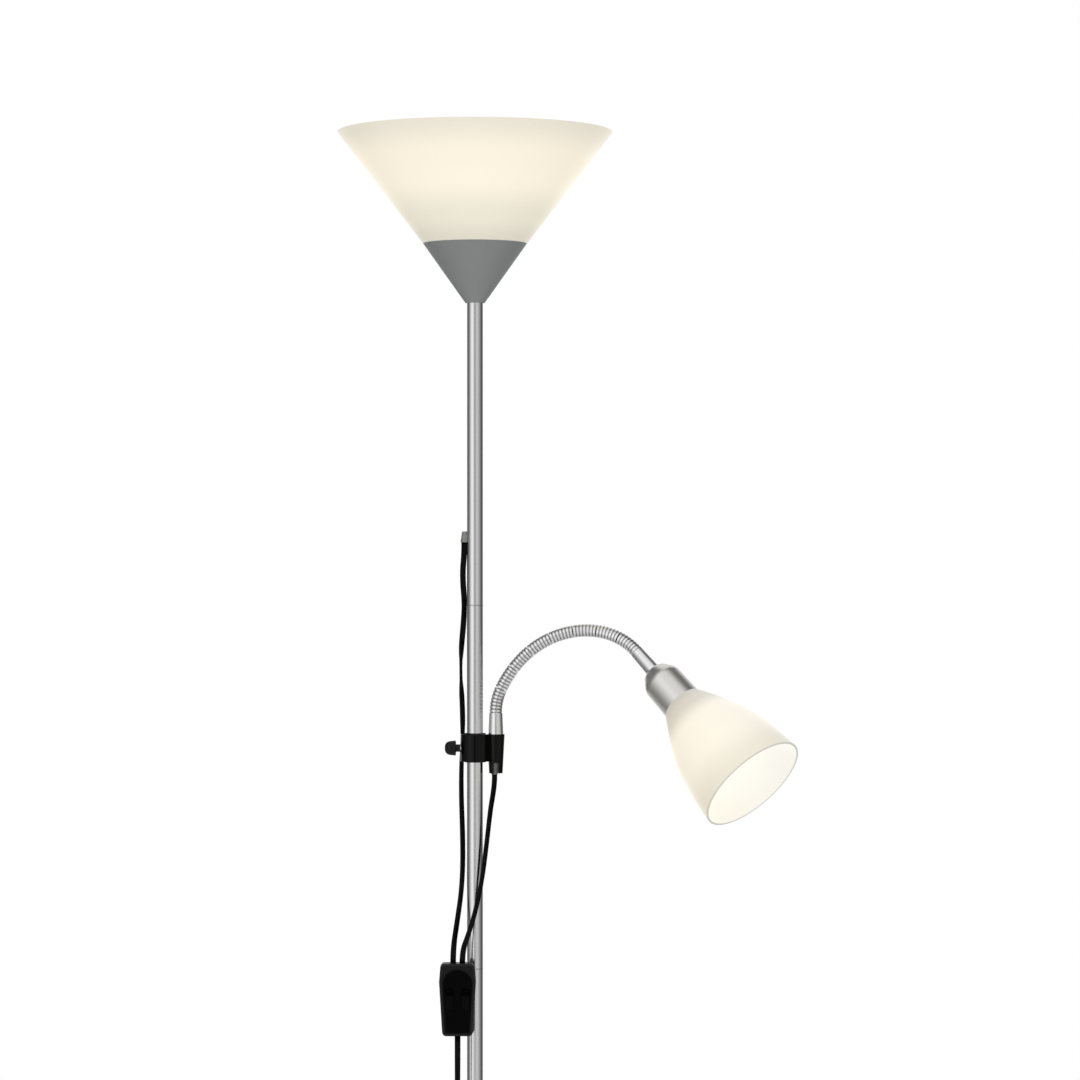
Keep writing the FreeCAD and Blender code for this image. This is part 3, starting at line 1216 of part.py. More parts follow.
parts = {
    "base_pad": base_pad(),
    "base_weight": base_weight(),
    "base_cover": base_cover(),
    "base_nut": base_nut(),
    "base_washer": base_washer(),
    "base_stud": base_stud(),
    "base_collar": base_collar(),
    "pole_joiners": pole_joiners(),
    "pole_end_bushes": pole_end_bushes(),
    "cord_grommet": cord_grommet(),
    "inner_cord": inner_cord(),
    "cone_cap": cone_cap(),
    "top_nipple": top_nipple(),
    "top_lampholder": top_lampholder(),
    "top_holder_ring": top_holder_ring(),
    "top_shade": top_shade(),
    "top_bulb_cap": screw_cap(E27_CAP_RADIUS, BULB_FOOT, BULB_GLASS_FOOT),
    "top_bulb_glass": bulb_glass(BULB_NECK_RADIUS, BULB_RADIUS, BULB_GLASS_FOOT, BULB_CENTRE_RISE),
    "clamp_liner": clamp_liner(),
    "clamp_body": clamp_body(),
    "clamp_nut": clamp_nut(),
    "thumbscrew_stud": thumbscrew_stud(),
    "thumbscrew_knob": thumbscrew_knob(),
    "socket_insert": socket_insert(),
    "arm_sleeve_lower": arm_sleeve_lower(),
    "arm_sleeve_upper": on_arm(arm_sleeve_upper()),
    "holder_cover": on_arm(holder_cover()),
    "reading_lampholder": on_arm(reading_lampholder()),
    "shade_ring": on_arm(shade_ring()),
    "reading_shade": on_arm(reading_shade()),
    "reading_bulb_cap": on_arm(screw_cap(E14_CAP_RADIUS, READING_BULB_FOOT, READING_GLASS_FOOT)),
    "reading_bulb_glass": on_arm(bulb_glass(READING_BULB_NECK_RADIUS, READING_BULB_RADIUS,
                                            READING_GLASS_FOOT, READING_BULB_RISE)),
    "switch_back": switch_back(),
    "switch_front": switch_front(),
    "rocker_left": rocker(-1),
    "rocker_right": rocker(1),
    "switch_screws": switch_screws(),
    "switch_terminals": switch_terminals(),
    "lamp_cord": cord("lamp_cord", [OUTLET_MOUTH] + LAMP_ROUTE + [LAMP_ENTRY]),
    "reading_cord_top": cord("reading_cord_top", [INSERT_MOUTH] + READING_TOP_ROUTE),
    "reading_cord": cord("reading_cord", READING_TOP_ROUTE[-1:] + READING_ROUTE + [READING_ENTRY]),
    "supply_cord": cord("supply_cord", [SUPPLY_EXIT] + SUPPLY_ROUTE + SUPPLY_FLOOR),
    "supply_coil": supply_coil(),
    "cord_tie": cord_tie(),
    "plug_body": plug_body(),
    "plug_pins": plug_pins(),
}
for number in range(LOWER_TUBES + 1):
    parts["pole_tube_%d" % (number + 1)] = pole_tube(number)
for number in range(len(HOSE_DIRECTIONS) - 1):
    parts["hose_%d" % (number + 1)] = hose_segment(number)

os.makedirs("parts", exist_ok=True)
for name, solid in parts.items():
    solid.exportStep("parts/%s.step" % name)
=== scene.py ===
import logging
import math
from collections.abc import Sequence
from dataclasses import dataclass, field
from enum import Enum
from functools import cache

import bpy
import numpy as np
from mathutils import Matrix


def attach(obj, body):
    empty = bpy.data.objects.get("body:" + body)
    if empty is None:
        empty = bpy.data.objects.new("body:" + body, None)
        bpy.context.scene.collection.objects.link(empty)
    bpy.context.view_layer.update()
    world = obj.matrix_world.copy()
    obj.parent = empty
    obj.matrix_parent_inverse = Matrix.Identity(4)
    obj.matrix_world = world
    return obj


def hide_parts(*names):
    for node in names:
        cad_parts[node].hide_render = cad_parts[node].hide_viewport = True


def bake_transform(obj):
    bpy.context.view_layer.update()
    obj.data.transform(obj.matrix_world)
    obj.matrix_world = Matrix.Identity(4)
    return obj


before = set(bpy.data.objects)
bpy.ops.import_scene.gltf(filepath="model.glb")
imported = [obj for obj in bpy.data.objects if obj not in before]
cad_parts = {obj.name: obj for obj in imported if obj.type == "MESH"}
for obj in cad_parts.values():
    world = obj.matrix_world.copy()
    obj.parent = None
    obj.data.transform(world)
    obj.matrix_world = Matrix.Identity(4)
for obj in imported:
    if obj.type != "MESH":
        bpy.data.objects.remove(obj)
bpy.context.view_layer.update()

log = logging.getLogger("lamp")
MM = 0.001
Point = tuple[float, float, float]
Colour = tuple[float, float, float, float]
Stop = tuple[float, float, float, float]    # place from 0 to 1, then red, green and blue
Level = tuple[float, float]                 # place and brightness
Lie = tuple[float, Point]                   # distance along a cord in metres, and which way its width lies
Socket = bpy.types.NodeSocket
Sockets = bpy.types.bpy_prop_collection
Fed = dict[str | int, object]               # a socket or plain value for each input, by its name or place


# ---- Small helpers ----
def linear(red: int, green: int, blue: int) -> Colour:
    """Linear colour of a display colour.

    Args:
        red, green, blue: Display values from 0 to 255.

    Returns:
        The colour as Blender's sockets take it, with full alpha.
    """
    shares = np.array([red, green, blue]) / 255.0
    values = np.where(shares <= 0.04045, shares / 12.92, ((shares + 0.055) / 1.055) ** 2.4)
    return (float(values[0]), float(values[1]), float(values[2]), 1.0)


def grey(level: int) -> Colour:
    """Linear colour of a neutral display value."""
    return linear(level, level, level)


def millimetres(points: Sequence[Point]) -> np.ndarray:
    """Points given in millimetres as an array in metres."""
    return np.array(points, dtype=float) * MM


@dataclass(frozen=True)
class Nodes:
    """Adds nodes to a tree."""

    tree: bpy.types.NodeTree

    def feed(self, node: bpy.types.Node, fed: Fed) -> None:
        """Link or set a node's inputs.

        Args:
            node: The node.
            fed: What its inputs take.
        """
        for label, value in fed.items():
            if isinstance(value, Socket):
                self.tree.links.new(value, node.inputs[label])
            else:
                node.inputs[label].default_value = value

    def add(self, kind: str, fed: Fed | None = None, **settings: object) -> bpy.types.Node:
        """Add a node.

        Args:
            kind: Blender's name of its type, without the word ShaderNode.
            fed: What its inputs take.
            settings: Values of its properties.

        Returns:
            The node.
        """
        node = self.tree.nodes.new("ShaderNode" + kind)
        for label, value in settings.items():
            setattr(node, label, value)
        self.feed(node, fed or {})
        return node

    def number(self, operation: str, *values: object, **settings: object) -> Socket:
        """Add a Math node.

        Args:
            operation: Blender's name of the operation.
            values: Sockets or plain numbers.
            settings: Values of its other properties.

        Returns:
            The result.
        """
        return self.add("Math", dict(enumerate(values)), operation=operation, **settings).outputs[0]

    def vector(self, operation: str, *values: object) -> Socket:
        """Add a Vector Math node.

        Args:
            operation: Blender's name of the operation.
            values: Sockets or plain values.

        Returns:
            The output that the operation fills.
        """
        labels = (0, "Scale") if operation == "SCALE" else (0, 1)
        node = self.add("VectorMath", dict(zip(labels, values)), operation=operation)
        return node.outputs["Value" if operation in ("DOT_PRODUCT", "LENGTH") else "Vector"]

    def mix(self, kind: str, share: Socket, first: object, second: object) -> Socket:
        """Add a Mix node.

        Args:
            kind: FLOAT or RGBA.
            share: How much of the second.
            first, second: Sockets or plain values.

        Returns:
            The mixed value.
        """
        node = self.add("Mix", {"Factor": share, "A": first, "B": second}, data_type=kind)
        return node.outputs["Result"]

    def smooth(self, value: Socket, low: float, high: float, start: float = 0.0) -> Socket:
        """Rise smoothly to 1 while a value goes from one level to another.

        Args:
            value: The value.
            low, high: The levels.
            start: The result at the low level.

        Returns:
            The result.
        """
        fed = {"Value": value, "From Min": low, "From Max": high, "To Min": start}
        return self.add("MapRange", fed, interpolation_type="SMOOTHSTEP").outputs[0]

    def ramp(self, share: Socket, stops: Sequence[Stop], interpolation: str = "EASE") -> Socket:
        """Add a Color Ramp.

        Args:
            share: What picks the place.
            stops: The ramp's stops.
            interpolation: Blender's name of the way between them.

        Returns:
            The ramp's colour.
        """
        node = self.add("ValToRGB", {0: share})
        node.color_ramp.interpolation = interpolation
        elements = node.color_ramp.elements
        while len(elements) < len(stops):
            elements.new(0.5)
        for element, (place, *colour) in zip(elements, stops):
            element.position = place
            element.color = (*colour, 1.0)
        return node.outputs[0]

    def levels(self, share: Socket, stops: Sequence[Level]) -> Socket:
        """Add a straight ramp of brightnesses, which may be over 1.

        Args:
            share: What picks the place.
            stops: Place from 0 to 1 and brightness of each stop.

        Returns:
            The brightness.
        """
        top = max(level for _, level in stops)
        shade = self.ramp(share, [(place, *[level / top] * 3) for place, level in stops], "LINEAR")
        return self.number("MULTIPLY", shade, top)


# ---- Shared effects: node groups that put out only what changes over a surface ----
DRAWN_STRETCH = 0.018               # how far drawn metal's noise is drawn out along the piece
BROAD_SCALE = 0.06                  # scale of the broad noise over that of the fine one
FINE_DETAIL, BROAD_DETAIL = 3.0, 2.0
FINE_TONE, BROAD_TONE, CELL_TONE = 0.5, 0.7, 1.4
FINE_HEIGHT, CELL_HEIGHT = 0.4, 1.2     # where there are cells


class Effect(Enum):
    """The shared surface effects."""

    MOULDED = "moulded grain"
    DRAWN = "drawn metal"
    CAST = "cast skin"
    FLAKE = "silver lacquer"


def start_group(name: str, inputs: dict[str, object], *outputs: str) -> tuple[Nodes, Sockets]:
    """Make a group with its sockets.

    Args:
        name: The group's name.
        inputs: Kind of each input, or the default of one that takes a number.
        outputs: Name of each output. Colour is a colour and all others are numbers.

    Returns:
        The group's nodes and its inputs.
    """
    tree = bpy.data.node_groups.new(name, "ShaderNodeTree")
    for label, given in inputs.items():
        kind = given if isinstance(given, str) else "Float"
        socket = tree.interface.new_socket(label, in_out="INPUT", socket_type="NodeSocket" + kind)
        if kind == "Float":
            socket.default_value = given
    for label in outputs:
        kind = "Color" if label == "Colour" else "Float"
        tree.interface.new_socket(label, in_out="OUTPUT", socket_type="NodeSocket" + kind)
    return Nodes(tree), tree.nodes.new("NodeGroupInput").outputs


def end_group(nodes: Nodes, made: Fed) -> bpy.types.NodeTree:
    """Feed a group's outputs.

    Args:
        nodes: The group's nodes.
        made: What each output gives.

    Returns:
        The group.
    """
    nodes.feed(nodes.tree.nodes.new("NodeGroupOutput"), made)
    return nodes.tree


def noise(nodes: Nodes, place: Socket, scale: Socket, detail: float) -> Socket:
    """Add noise from -1 to 1.

    Args:
        nodes: The tree's nodes.
        place: Where it is read.
        scale: Its scale.
        detail: Its octaves.

    Returns:
        The centred noise.
    """
    node = nodes.add("TexNoise", {"Vector": place, "Scale": scale, "Detail": detail})
    return nodes.number("MULTIPLY_ADD", node.outputs[0], 2.0, -1.0)


def beside_axis(nodes: Nodes, given: Sockets, foot: str) -> tuple[Socket, Socket]:
    """Split the way from a point of an axis to the surface.

    Args:
        nodes: The group's nodes.
        given: The group's inputs, with Vector and Axis among them.
        foot: Name of the input that holds the axis's point.

    Returns:
        The distance along the axis, and the rest of the way, square to it.
    """
    away = nodes.vector("SUBTRACT", given["Vector"], given[foot])
    along = nodes.vector("DOT_PRODUCT", away, given["Axis"])
    return along, nodes.vector("SUBTRACT", away, nodes.vector("SCALE", given["Axis"], along))


@cache
def surface(effect: Effect) -> bpy.types.NodeTree:
    """Group of one surface effect.

    Its height and its variation of colour and roughness come from two noises, a fine one and a broad one.
    Drawn metal stretches them along the piece's length, the cast skin adds cells, and the lacquer adds small
    flakes.

    Args:
        effect: Which effect.

    Returns:
        The group, with inputs Vector, Colour, Roughness, Spread, Tint, Scale and outputs Colour, Roughness,
        Height.
    """
    nodes, given = start_group(effect.value, {
        "Vector": "Vector", "Colour": "Color", "Roughness": 0.4, "Spread": 0.05, "Tint": 0.03,
        "Scale": 900.0}, "Colour", "Roughness", "Height")
    place = given["Vector"]
    if effect is Effect.DRAWN:
        place = nodes.add("Mapping", {"Vector": place, "Scale": (1.0, 1.0, DRAWN_STRETCH)}).outputs[0]
    fine = noise(nodes, place, given["Scale"], FINE_DETAIL)
    broad = noise(nodes, place, nodes.number("MULTIPLY", given["Scale"], BROAD_SCALE), BROAD_DETAIL)
    height = fine
    if effect in (Effect.CAST, Effect.FLAKE):
        cells = nodes.add("TexVoronoi", {"Vector": place, "Scale": given["Scale"]})
        cell = cells.outputs["Distance"]
        if effect is Effect.FLAKE:
            cell = nodes.add("SeparateColor", {0: cells.outputs["Color"]}).outputs[0]
        height = nodes.number("MULTIPLY_ADD", cell, CELL_HEIGHT, nodes.number("MULTIPLY", fine, FINE_HEIGHT))
        fine = nodes.number("MULTIPLY_ADD", cell, CELL_TONE, -CELL_TONE / 2)
    varied = nodes.number("MULTIPLY_ADD", broad, BROAD_TONE, nodes.number("MULTIPLY", fine, FINE_TONE))
    lighter = nodes.number("MULTIPLY_ADD", varied, given["Tint"], 1.0)
    return end_group(nodes, {
        "Colour": nodes.vector("SCALE", given["Colour"], lighter),
        "Roughness": nodes.number("MULTIPLY_ADD", varied, given["Spread"], given["Roughness"]),
        "Height": height})


@cache
def shade_place() -> bpy.types.NodeTree:
    """Group that tells where a point of a shade is.

    Along is the distance from the shade's foot along its axis as a share of its length. Inside is 1 where the
    face looks towards the axis: the dot product of the normal with the line from the axis is negative. Aside
    is 1 on the side that the Side direction points to and 0 on the other: half of one more than the dot
    product of that direction with the line from the axis.

    Returns:
        The group, with inputs Vector, Normal, Foot, Axis, Side, Length and outputs Along, Inside, Aside.
    """
    nodes, given = start_group("shade place", {
        "Vector": "Vector", "Normal": "Vector", "Foot": "Vector", "Axis": "Vector", "Side": "Vector",
        "Length": 0.1}, "Along", "Inside", "Aside")
    along, radial = beside_axis(nodes, given, "Foot")
    outward = nodes.vector("DOT_PRODUCT", radial, given["Normal"])
    aside = nodes.vector("DOT_PRODUCT", nodes.vector("NORMALIZE", radial), given["Side"])
    return end_group(nodes, {
        "Along": nodes.number("DIVIDE", along, given["Length"]),
        "Inside": nodes.number("LESS_THAN", outward, 0.0),
        "Aside": nodes.number("MULTIPLY_ADD", aside, 0.5, 0.5)})


@cache
def sunken_face() -> bpy.types.NodeTree:
    """Group that tells the face from what stands proud on it.

    The high level less the distance along a direction, over the step between the levels, gives Sunken: 1 on
    the face and 0 on what stands proud.

    Returns:
        The group, with inputs Vector, Along, Low, High and output Sunken.
    """
    nodes, given = start_group("sunken face", {
        "Vector": "Vector", "Along": "Vector", "Low": 0.0, "High": 1.0}, "Sunken")
    reach = nodes.vector("DOT_PRODUCT", given["Vector"], given["Along"])
    under = nodes.number("SUBTRACT", given["High"], reach)
    step = nodes.number("SUBTRACT", given["High"], given["Low"])
    return end_group(nodes, {"Sunken": nodes.number("DIVIDE", under, step, use_clamp=True)})


@cache
def ribbed_tube() -> bpy.types.NodeTree:
    """Group that tells how deep a point lies in the grooves of a bent ribbed tube.

    The tube's centre line is an arc: the point's height over the arc's plane and its distance from the arc's
    axis, less the bend's radius, give its distance from that line. Groove rises from 0 at the ribs' crests to
    1 at the roots between them.

    Returns:
        The group, with inputs Vector, Centre, Axis, Bend, Root, Crest and output Groove.
    """
    nodes, given = start_group("ribbed tube", {
        "Vector": "Vector", "Centre": "Vector", "Axis": "Vector", "Bend": 0.1, "Root": 0.005,
        "Crest": 0.006}, "Groove")
    height, level = beside_axis(nodes, given, "Centre")
    beside = nodes.number("SUBTRACT", nodes.vector("LENGTH", level), given["Bend"])
    square = nodes.number("MULTIPLY_ADD", beside, beside, nodes.number("MULTIPLY", height, height))
    depth = nodes.number("SUBTRACT", given["Crest"], nodes.number("SQRT", square))
    whole = nodes.number("SUBTRACT", given["Crest"], given["Root"])
    return end_group(nodes, {"Groove": nodes.number("DIVIDE", depth, whole, use_clamp=True)})


# ---- Finishes ----
COAT_ROUGHNESS = 0.08


def new_material(name: str) -> tuple[bpy.types.Material, Nodes, bpy.types.Node]:
    """Make a material.

    Args:
        name: Its name.

    Returns:
        The material, its nodes and its shader.
    """
    made = bpy.data.materials.new(name)
    made.use_nodes = True
    return made, Nodes(made.node_tree), made.node_tree.nodes["Principled BSDF"]


@dataclass(frozen=True)
class Finish:
    """A surface finish: one shader with one shared effect."""

    name: str
    colour: Colour
    roughness: float
    effect: Effect = Effect.MOULDED
    metallic: float = 0.0
    spread: float = 0.05
    tint: float = 0.04
    scale: float = 900.0
    bump: float = 0.05
    depth: float = 0.03 * MM
    coat: float = 0.0
    shine: float = 0.5
    see_through: float = 0.0
    glow: Colour | None = None

    def tone(self, nodes: Nodes, place: Sockets) -> object:
        """What the shared effect varies.

        Args:
            nodes: The material's nodes.
            place: Outputs of its Texture Coordinate node.

        Returns:
            A colour or its socket.
        """
        return self.colour

    def shown(self, nodes: Nodes, place: Sockets, look: Sockets) -> Fed:
        """What the shader takes that changes over the surface.

        Args:
            nodes: The material's nodes.
            place: Outputs of its Texture Coordinate node.
            look: The shared effect's outputs.

        Returns:
            Each input's value.
        """
        return {"Base Color": look["Colour"], "Roughness": look["Roughness"]}

    def material(self) -> bpy.types.Material:
        """Build the material, or give the one that was built before.

        Returns:
            The material.
        """
        known = bpy.data.materials.get(self.name)
        if known:
            return known
        made, nodes, shader = new_material(self.name)
        place = nodes.add("TexCoord").outputs
        look = nodes.add("Group", {
            "Vector": place["Object"], "Colour": self.tone(nodes, place), "Roughness": self.roughness,
            "Spread": self.spread, "Tint": self.tint, "Scale": self.scale}, node_tree=surface(self.effect))
        bump = nodes.add("Bump", {
            "Height": look.outputs["Height"], "Strength": self.bump, "Distance": self.depth})
        nodes.feed(shader, {
            "Normal": bump.outputs["Normal"], "Metallic": self.metallic, "Specular IOR Level": self.shine,
            "Coat Weight": self.coat, "Coat Roughness": COAT_ROUGHNESS,
            "Transmission Weight": self.see_through})
        if self.glow:
            nodes.feed(shader, {"Emission Color": self.glow, "Emission Strength": 1.0})
        nodes.feed(shader, self.shown(nodes, place, look.outputs))
        made.diffuse_color = self.colour
        return made


@dataclass(frozen=True)
class PaintedLightFinish(Finish):
    """Finish that mixes in a colour of painted light, and another roughness, by a share that each kind works
    out.
    """

    painted_light_colour: Colour = (0.5, 0.5, 0.5, 1.0)
    other_roughness: float = 0.5

    def painted_light_share(self, nodes: Nodes, place: Socket) -> Socket:
        """How much of the painted light there is.

        Args:
            nodes: The material's nodes.
            place: Object coordinates.

        Returns:
            The share, from 0 to 1.
        """
        raise NotImplementedError

    def shown(self, nodes: Nodes, place: Sockets, look: Sockets) -> Fed:
        """What the shader takes, with the painted light mixed in.

        Args:
            nodes: The material's nodes.
            place: Outputs of its Texture Coordinate node.
            look: The shared effect's outputs.

        Returns:
            Each input's value.
        """
        share = self.painted_light_share(nodes, place["Object"])
        return {"Base Color": nodes.mix("RGBA", share, look["Colour"], self.painted_light_colour),
                "Roughness": nodes.mix("FLOAT", share, look["Roughness"], self.other_roughness)}


@dataclass(frozen=True)
class GrooveShadeFinish(PaintedLightFinish):
    """Metal of a bent ribbed tube, rougher down in its grooves, where shade is painted on as a darker colour.
    """

    # Painted groove shade: the colour that darkens the grooves, and their rougher finish
    painted_light_colour: Colour = (0.33, 0.33, 0.33, 1.0)
    other_roughness: float = 0.28
    centre: Point = (0.0, 0.0, 0.0)
    axis: Point = (0.0, 1.0, 0.0)
    bend: float = 0.1
    root: float = 5.42 * MM
    crest: float = 5.88 * MM

    def painted_light_share(self, nodes: Nodes, place: Socket) -> Socket:
        """Depth in the grooves, where shade is painted; arguments and result are those of the base class."""
        fed = {"Vector": place, "Centre": self.centre, "Axis": self.axis, "Bend": self.bend,
               "Root": self.root, "Crest": self.crest}
        return nodes.add("Group", fed, node_tree=ribbed_tube()).outputs["Groove"]


@dataclass(frozen=True)
class FaceSheenFinish(PaintedLightFinish):
    """Moulding whose face around what stands proud on it is painted lighter, a painted sheen, and rougher."""

    along: Point = (0.0, -1.0, 0.0)
    low: float = 0.0
    high: float = 1.0

    def painted_light_share(self, nodes: Nodes, place: Socket) -> Socket:
        """The face around what stands proud, where sheen is painted; arguments and result are those of the
        base class.
        """
        fed = {"Vector": place, "Along": self.along, "Low": self.low, "High": self.high}
        return nodes.add("Group", fed, node_tree=sunken_face()).outputs["Sunken"]


@dataclass(frozen=True)
class LitShade(Finish):
    """Translucent plastic lit from within: its glow follows the place on the shade."""

    colour: Colour = (0.33, 0.325, 0.30, 1.0)
    roughness: float = 0.38
    tint: float = 0.02
    scale: float = 260.0
    depth: float = 0.05 * MM
    shine: float = 0.25
    foot: Point = (0.0, 0.0, 0.0)
    axis: Point = (0.0, 0.0, 1.0)
    length: float = 0.1
    # Painted glow of the bulb within, outside and inside, by place along the shade; then tinted warmer on the
    # side nearest the bulb and cooler on the far side.
    outside: tuple[Stop, ...] = ()
    inside: tuple[Stop, ...] = ()
    side: Point = (-1.0, 0.0, 0.0)
    glow_near_bulb: Point = (1.0, 1.0, 1.0)
    glow_away_from_bulb: Point = (1.0, 1.0, 1.0)

    def tone(self, nodes: Nodes, place: Sockets) -> object:
        """Glow at the place on the shade.

        Args:
            nodes: The material's nodes.
            place: Outputs of its Texture Coordinate node.

        Returns:
            The glow's colour.
        """
        fed = {"Vector": place["Object"], "Normal": place["Normal"], "Foot": self.foot,
               "Axis": self.axis, "Side": self.side, "Length": self.length}
        along, inside, aside = nodes.add("Group", fed, node_tree=shade_place()).outputs
        glow = nodes.mix("RGBA", inside, nodes.ramp(along, self.outside), nodes.ramp(along, self.inside))
        sides = nodes.ramp(aside, ((0.0, *self.glow_away_from_bulb), (1.0, *self.glow_near_bulb)))
        return nodes.vector("MULTIPLY", glow, sides)

    def shown(self, nodes: Nodes, place: Sockets, look: Sockets) -> Fed:
        """The glow over a plain body; arguments and result are those of Finish."""
        return {"Base Color": self.colour, "Roughness": look["Roughness"],
                "Emission Color": look["Colour"], "Emission Strength": 1.0}


POLE_NICKEL = Finish("satin nickel tube", grey(207), 0.17, Effect.DRAWN, 1.0, spread=0.02, tint=0.02,
                     scale=1500.0, bump=0.02)
JOINER_NICKEL = Finish("satin nickel joiner", grey(168), 0.32, Effect.DRAWN, 1.0, tint=0.06, scale=1500.0)
ARM_NICKEL = Finish("bright nickel arm", grey(216), 0.19, metallic=1.0, spread=0.04, tint=0.03, scale=1200.0,
                    bump=0.02)
COVER_SILVER = Finish("brushed nickel cover", linear(208, 207, 203), 0.30, metallic=1.0, spread=0.03,
                      tint=0.02, scale=1600.0, bump=0.02)
BASE_SILVER = Finish("silver lacquer", grey(186), 0.30, Effect.FLAKE, 0.75, spread=0.08, tint=0.10,
                     scale=1700.0, bump=0.12, coat=0.3)
CONE_GREY = Finish("matt grey moulding", linear(124, 127, 126), 0.52, spread=0.06, scale=1500.0, bump=0.12,
                   shine=0.4)
HOLDER_WHITE = Finish("white lampholder", linear(232, 230, 222), 0.30, tint=0.02)
CLAMP_BLACK = Finish("gloss black moulding", grey(3), 0.08, spread=0.02, tint=0.15, bump=0.01, shine=0.14)
LINER_BLACK = Finish("matt black liner", grey(20), 0.5, tint=0.15, shine=0.2)
KNOB_BLACK = Finish("satin black knob", grey(10), 0.26, spread=0.06, tint=0.15, bump=0.10, shine=0.2)
# Its face around the raised middle is painted light grey, a painted sheen, and is rougher there.
SWITCH_BLACK = FaceSheenFinish("satin black switch", grey(1), 0.24, spread=0.06, tint=0.18, scale=1400.0,
                            bump=0.12, shine=0.06, low=28.6 * MM, high=29.6 * MM, painted_light_colour=grey(34),
                            other_roughness=0.36)
ROCKER_BLACK = Finish("gloss black rocker", grey(1), 0.14, spread=0.04, tint=0.15, shine=0.05)
INSERT_GREY = Finish("grey strain relief", linear(92, 92, 90), 0.42, tint=0.08, shine=0.3)
GROMMET_GREY = Finish("clear grey outlet", linear(122, 126, 122), 0.35, tint=0.05, see_through=0.25)
CORD_BLACK = Finish("black cord sheath", grey(3), 0.30, spread=0.08, tint=0.2, scale=1800.0, bump=0.1,
                    shine=0.09)
PLUG_BLACK = Finish("black plug moulding", grey(16), 0.42, spread=0.08, tint=0.15, scale=1300.0, bump=0.2,
                    shine=0.3)
TIE_BLACK = Finish("black tie", grey(22), 0.45, tint=0.12, shine=0.3)
PIN_NICKEL = Finish("nickel pin", grey(205), 0.18, metallic=1.0)
BRASS = Finish("turned brass", linear(206, 172, 108), 0.28, metallic=1.0, tint=0.08)
ZINC = Finish("zinc plate", linear(176, 180, 184), 0.36, metallic=1.0, tint=0.10, scale=700.0, bump=0.1)
BULB_CAP = Finish("bulb cap", grey(196), 0.30, metallic=1.0, tint=0.05)
BULB_LIT = Finish("lit frosted bulb", linear(250, 246, 236), 0.35, tint=0.01, glow=linear(255, 246, 228))
IRON = Finish("cast weight", grey(62), 0.72, Effect.CAST, 0.35, spread=0.10, tint=0.25, scale=420.0,
              bump=0.5, depth=0.3 * MM)
PAD = Finish("black pad", grey(34), 0.85, Effect.CAST, tint=0.25, scale=700.0, bump=0.4, depth=0.2 * MM)

ARM_END: Point = (0.1490, -0.03061, 1.31981)        # where the arm's last segment ends
ARM_HEADING: Point = (0.5865, -0.4582, -0.6678)     # and where it points
BELL_REACH = 69.1 * MM                              # from there to the bell's neck
# The shades' painted glow: brightest across the middle, dimmer towards the foot and the rim, with a dim line
# at the bell's rim.
TOP_SHADE = LitShade(
    "lit cone shade", foot=(0.0, 0.0, 1.6968), length=0.103,
    outside=((0.0, 0.42, 0.385, 0.300), (0.20, 0.52, 0.475, 0.370), (0.50, 0.65, 0.588, 0.455),
             (0.72, 0.64, 0.575, 0.445), (1.0, 0.50, 0.455, 0.365)),
    inside=((0.0, 0.62, 0.55, 0.41), (0.4, 0.72, 0.65, 0.50), (1.0, 0.56, 0.51, 0.40)))
BELL_SHADE = LitShade(
    "lit bell shade", axis=ARM_HEADING, length=0.104,
    foot=tuple(end + BELL_REACH * way for end, way in zip(ARM_END, ARM_HEADING)),
    outside=((0.0, 0.30, 0.280, 0.250), (0.12, 0.39, 0.358, 0.312), (0.34, 0.650, 0.610, 0.530),
             (0.60, 0.640, 0.598, 0.518), (0.988, 0.50, 0.462, 0.385), (1.0, 0.30, 0.305, 0.270)),
    inside=((0.0, 0.66, 0.635, 0.60), (0.5, 0.67, 0.665, 0.63), (1.0, 0.63, 0.615, 0.575)),
    side=(-0.79, -0.40, -0.46), glow_near_bulb=(1.01, 0.980, 0.90), glow_away_from_bulb=(0.97, 0.975, 0.99))


# ---- Surfaces worked out with numpy ----
def mesh_object(name: str, points: np.ndarray, faces: list[tuple[int, ...]]) -> bpy.types.Object:
    """Make an object of points and faces, smooth shaded, at the origin.

    Args:
        name: The object's name.
        points: N x 3 array in metres.
        faces: Corners of each face.

    Returns:
        The linked object.
    """
    mesh = bpy.data.meshes.new(name)
    mesh.from_pydata(points.tolist(), [], faces)
    mesh.polygons.foreach_set("use_smooth", np.ones(len(mesh.polygons), dtype=bool))
    mesh.update()
    made = bpy.data.objects.new(name, mesh)
    bpy.context.scene.collection.objects.link(made)
    return made


def grid_faces(rows: int, columns: int, around: bool = True) -> list[tuple[int, ...]]:
    """Quads of a grid of points.

    Args:
        rows: Count of rows of points.
        columns: Count of points in a row.
        around: Whether the last column meets the first.

    Returns:
        The corners of each quad.
    """
    row, column = np.meshgrid(np.arange(rows - 1), np.arange(columns - (not around)), indexing="ij")
    after = (column + 1) % columns
    quads = np.stack([row * columns + column, row * columns + after, (row + 1) * columns + after,
                      (row + 1) * columns + column], axis=-1)
    return [tuple(quad) for quad in quads.reshape(-1, 4).tolist()]


